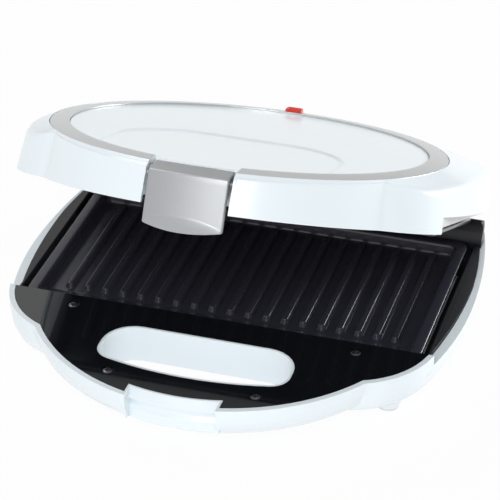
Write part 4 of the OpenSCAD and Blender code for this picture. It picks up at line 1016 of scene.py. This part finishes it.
def makeCamera():
    # distance and target are millimetres, and the focal length is in pixels of the picture's width
    rule = cameraRule
    az, el, roll = (math.radians(rule[k]) for k in ("azimuth", "elevation", "roll"))
    back = Vector((math.sin(az) * math.cos(el), -math.cos(az) * math.cos(el), math.sin(el)))
    right = Vector((math.cos(az), math.sin(az), 0))
    up = back.cross(right)
    c, s = math.cos(roll), math.sin(roll)
    x, y = right * c + up * s, up * c - right * s
    data = bpy.data.cameras.new("camera")
    data.sensor_width = rule["sensor"]
    data.lens = rule["focal"] / rule["pictureWidth"] * rule["sensor"]
    data.clip_start, data.clip_end = rule["near"], rule["far"]
    cam = bpy.data.objects.new("camera", data)
    bpy.context.scene.collection.objects.link(cam)
    spot = toRow(*rule["target"]) + back * rule["distance"] / perMetre
    cam.matrix_world = Matrix.Translation(spot) @ Matrix((x, y, back)).transposed().to_4x4()
    bpy.context.scene.camera = cam


makeCamera()
lights = [
    # name, place, size, power, aim
    ("keyLight", (0.2, -1.1, 1.0), 0.6, 7.5, (0, 0, 0.08)),
    ("frontLight", (0.1, -1.5, 0.45), 1.3, 4, (0, 0, 0.08)),
    ("fillLight", (1.1, 1.0, 0.3), 0.6, 14, (0, 0, 0.03)),
    ("rearLight", (-0.7, 0.5, 1.2), 0.6, 4.5, (0, 0, 0.08)),
]
for name, spot, size, power, aim in lights:
    data = bpy.data.lights.new(name, "AREA")
    data.shape = "DISK"
    data.size = size
    data.energy = power
    lamp = bpy.data.objects.new(name, data)
    lamp.location = spot
    lamp.rotation_mode = "QUATERNION"
    lamp.rotation_quaternion = (Vector(aim) - Vector(spot)).to_track_quat("-Z", "Y")
    bpy.context.scene.collection.objects.link(lamp)

# white to the camera; as light brighter near the horizon; in reflections brighter above and to the left
skyRule = dict(horizon=0.8, topFall=-0.54, glossLow=0.32, glossRise=0.5, glossFall=-0.45, glossLeast=0.1,
               seen=1.0)


def makeSky():
    rule = skyRule
    world = bpy.data.worlds.new("studio")
    world.use_nodes = True
    bpy.context.scene.world = world
    tree = world.node_tree
    path = tree.nodes.new("ShaderNodeLightPath").outputs
    split = tree.nodes.new("ShaderNodeSeparateXYZ")
    tree.links.new(tree.nodes.new("ShaderNodeTexCoord").outputs["Generated"], split.inputs["Vector"])
    above = calc(tree, "MAXIMUM", split.outputs["Z"], 0)
    soft = calc(tree, "MULTIPLY_ADD", above, rule["topFall"], rule["horizon"])
    gloss = calc(tree, "MULTIPLY_ADD", above, rule["glossRise"], rule["glossLow"])
    gloss = calc(tree, "MULTIPLY_ADD", split.outputs["X"], rule["glossFall"], gloss)
    gloss = calc(tree, "MAXIMUM", gloss, rule["glossLeast"])
    light = calc(tree, "MULTIPLY_ADD", calc(tree, "SUBTRACT", gloss, soft), path["Is Glossy Ray"], soft)
    clear = calc(tree, "MAXIMUM", path["Is Camera Ray"], path["Is Transmission Ray"])
    light = calc(tree, "MULTIPLY_ADD", calc(tree, "SUBTRACT", rule["seen"], light), clear, light)
    sky = tree.nodes["Background"]
    sky.inputs["Color"].default_value = (1, 1, 1, 1)
    tree.links.new(light, sky.inputs["Strength"])


makeSky()
floorRule = dict(half=6, colour=(0.9, 0.9, 0.9), rough=0.6, glow=0.97, seenChange=-0.04)


def makeFloor():
    # a matt floor that mostly glows; a little less in the camera's view, so that the contact shadow shows
    rule = floorRule
    mat, tree, shader = newMaterial("floorWhite", rule["colour"], rule["rough"])
    glow = tree.nodes.new("ShaderNodeEmission")
    glow.inputs["Color"].default_value = (1, 1, 1, 1)
    mix = tree.nodes.new("ShaderNodeMixShader")
    seen = tree.nodes.new("ShaderNodeLightPath").outputs["Is Camera Ray"]
    tree.links.new(calc(tree, "MULTIPLY_ADD", seen, rule["seenChange"], rule["glow"]), mix.inputs["Fac"])
    tree.links.new(shader.outputs["BSDF"], mix.inputs[1])
    tree.links.new(glow.outputs["Emission"], mix.inputs[2])
    tree.links.new(mix.outputs["Shader"], tree.nodes["Material Output"].inputs["Surface"])
    r = rule["half"]
    return meshObject("floor", [(-r, -r, 0), (r, -r, 0), (r, r, 0), (-r, r, 0)], [(0, 1, 2, 3)], mat, False)


floor = makeFloor()
bpy.context.scene.view_settings.view_transform = "Standard"
print("camera and light set")
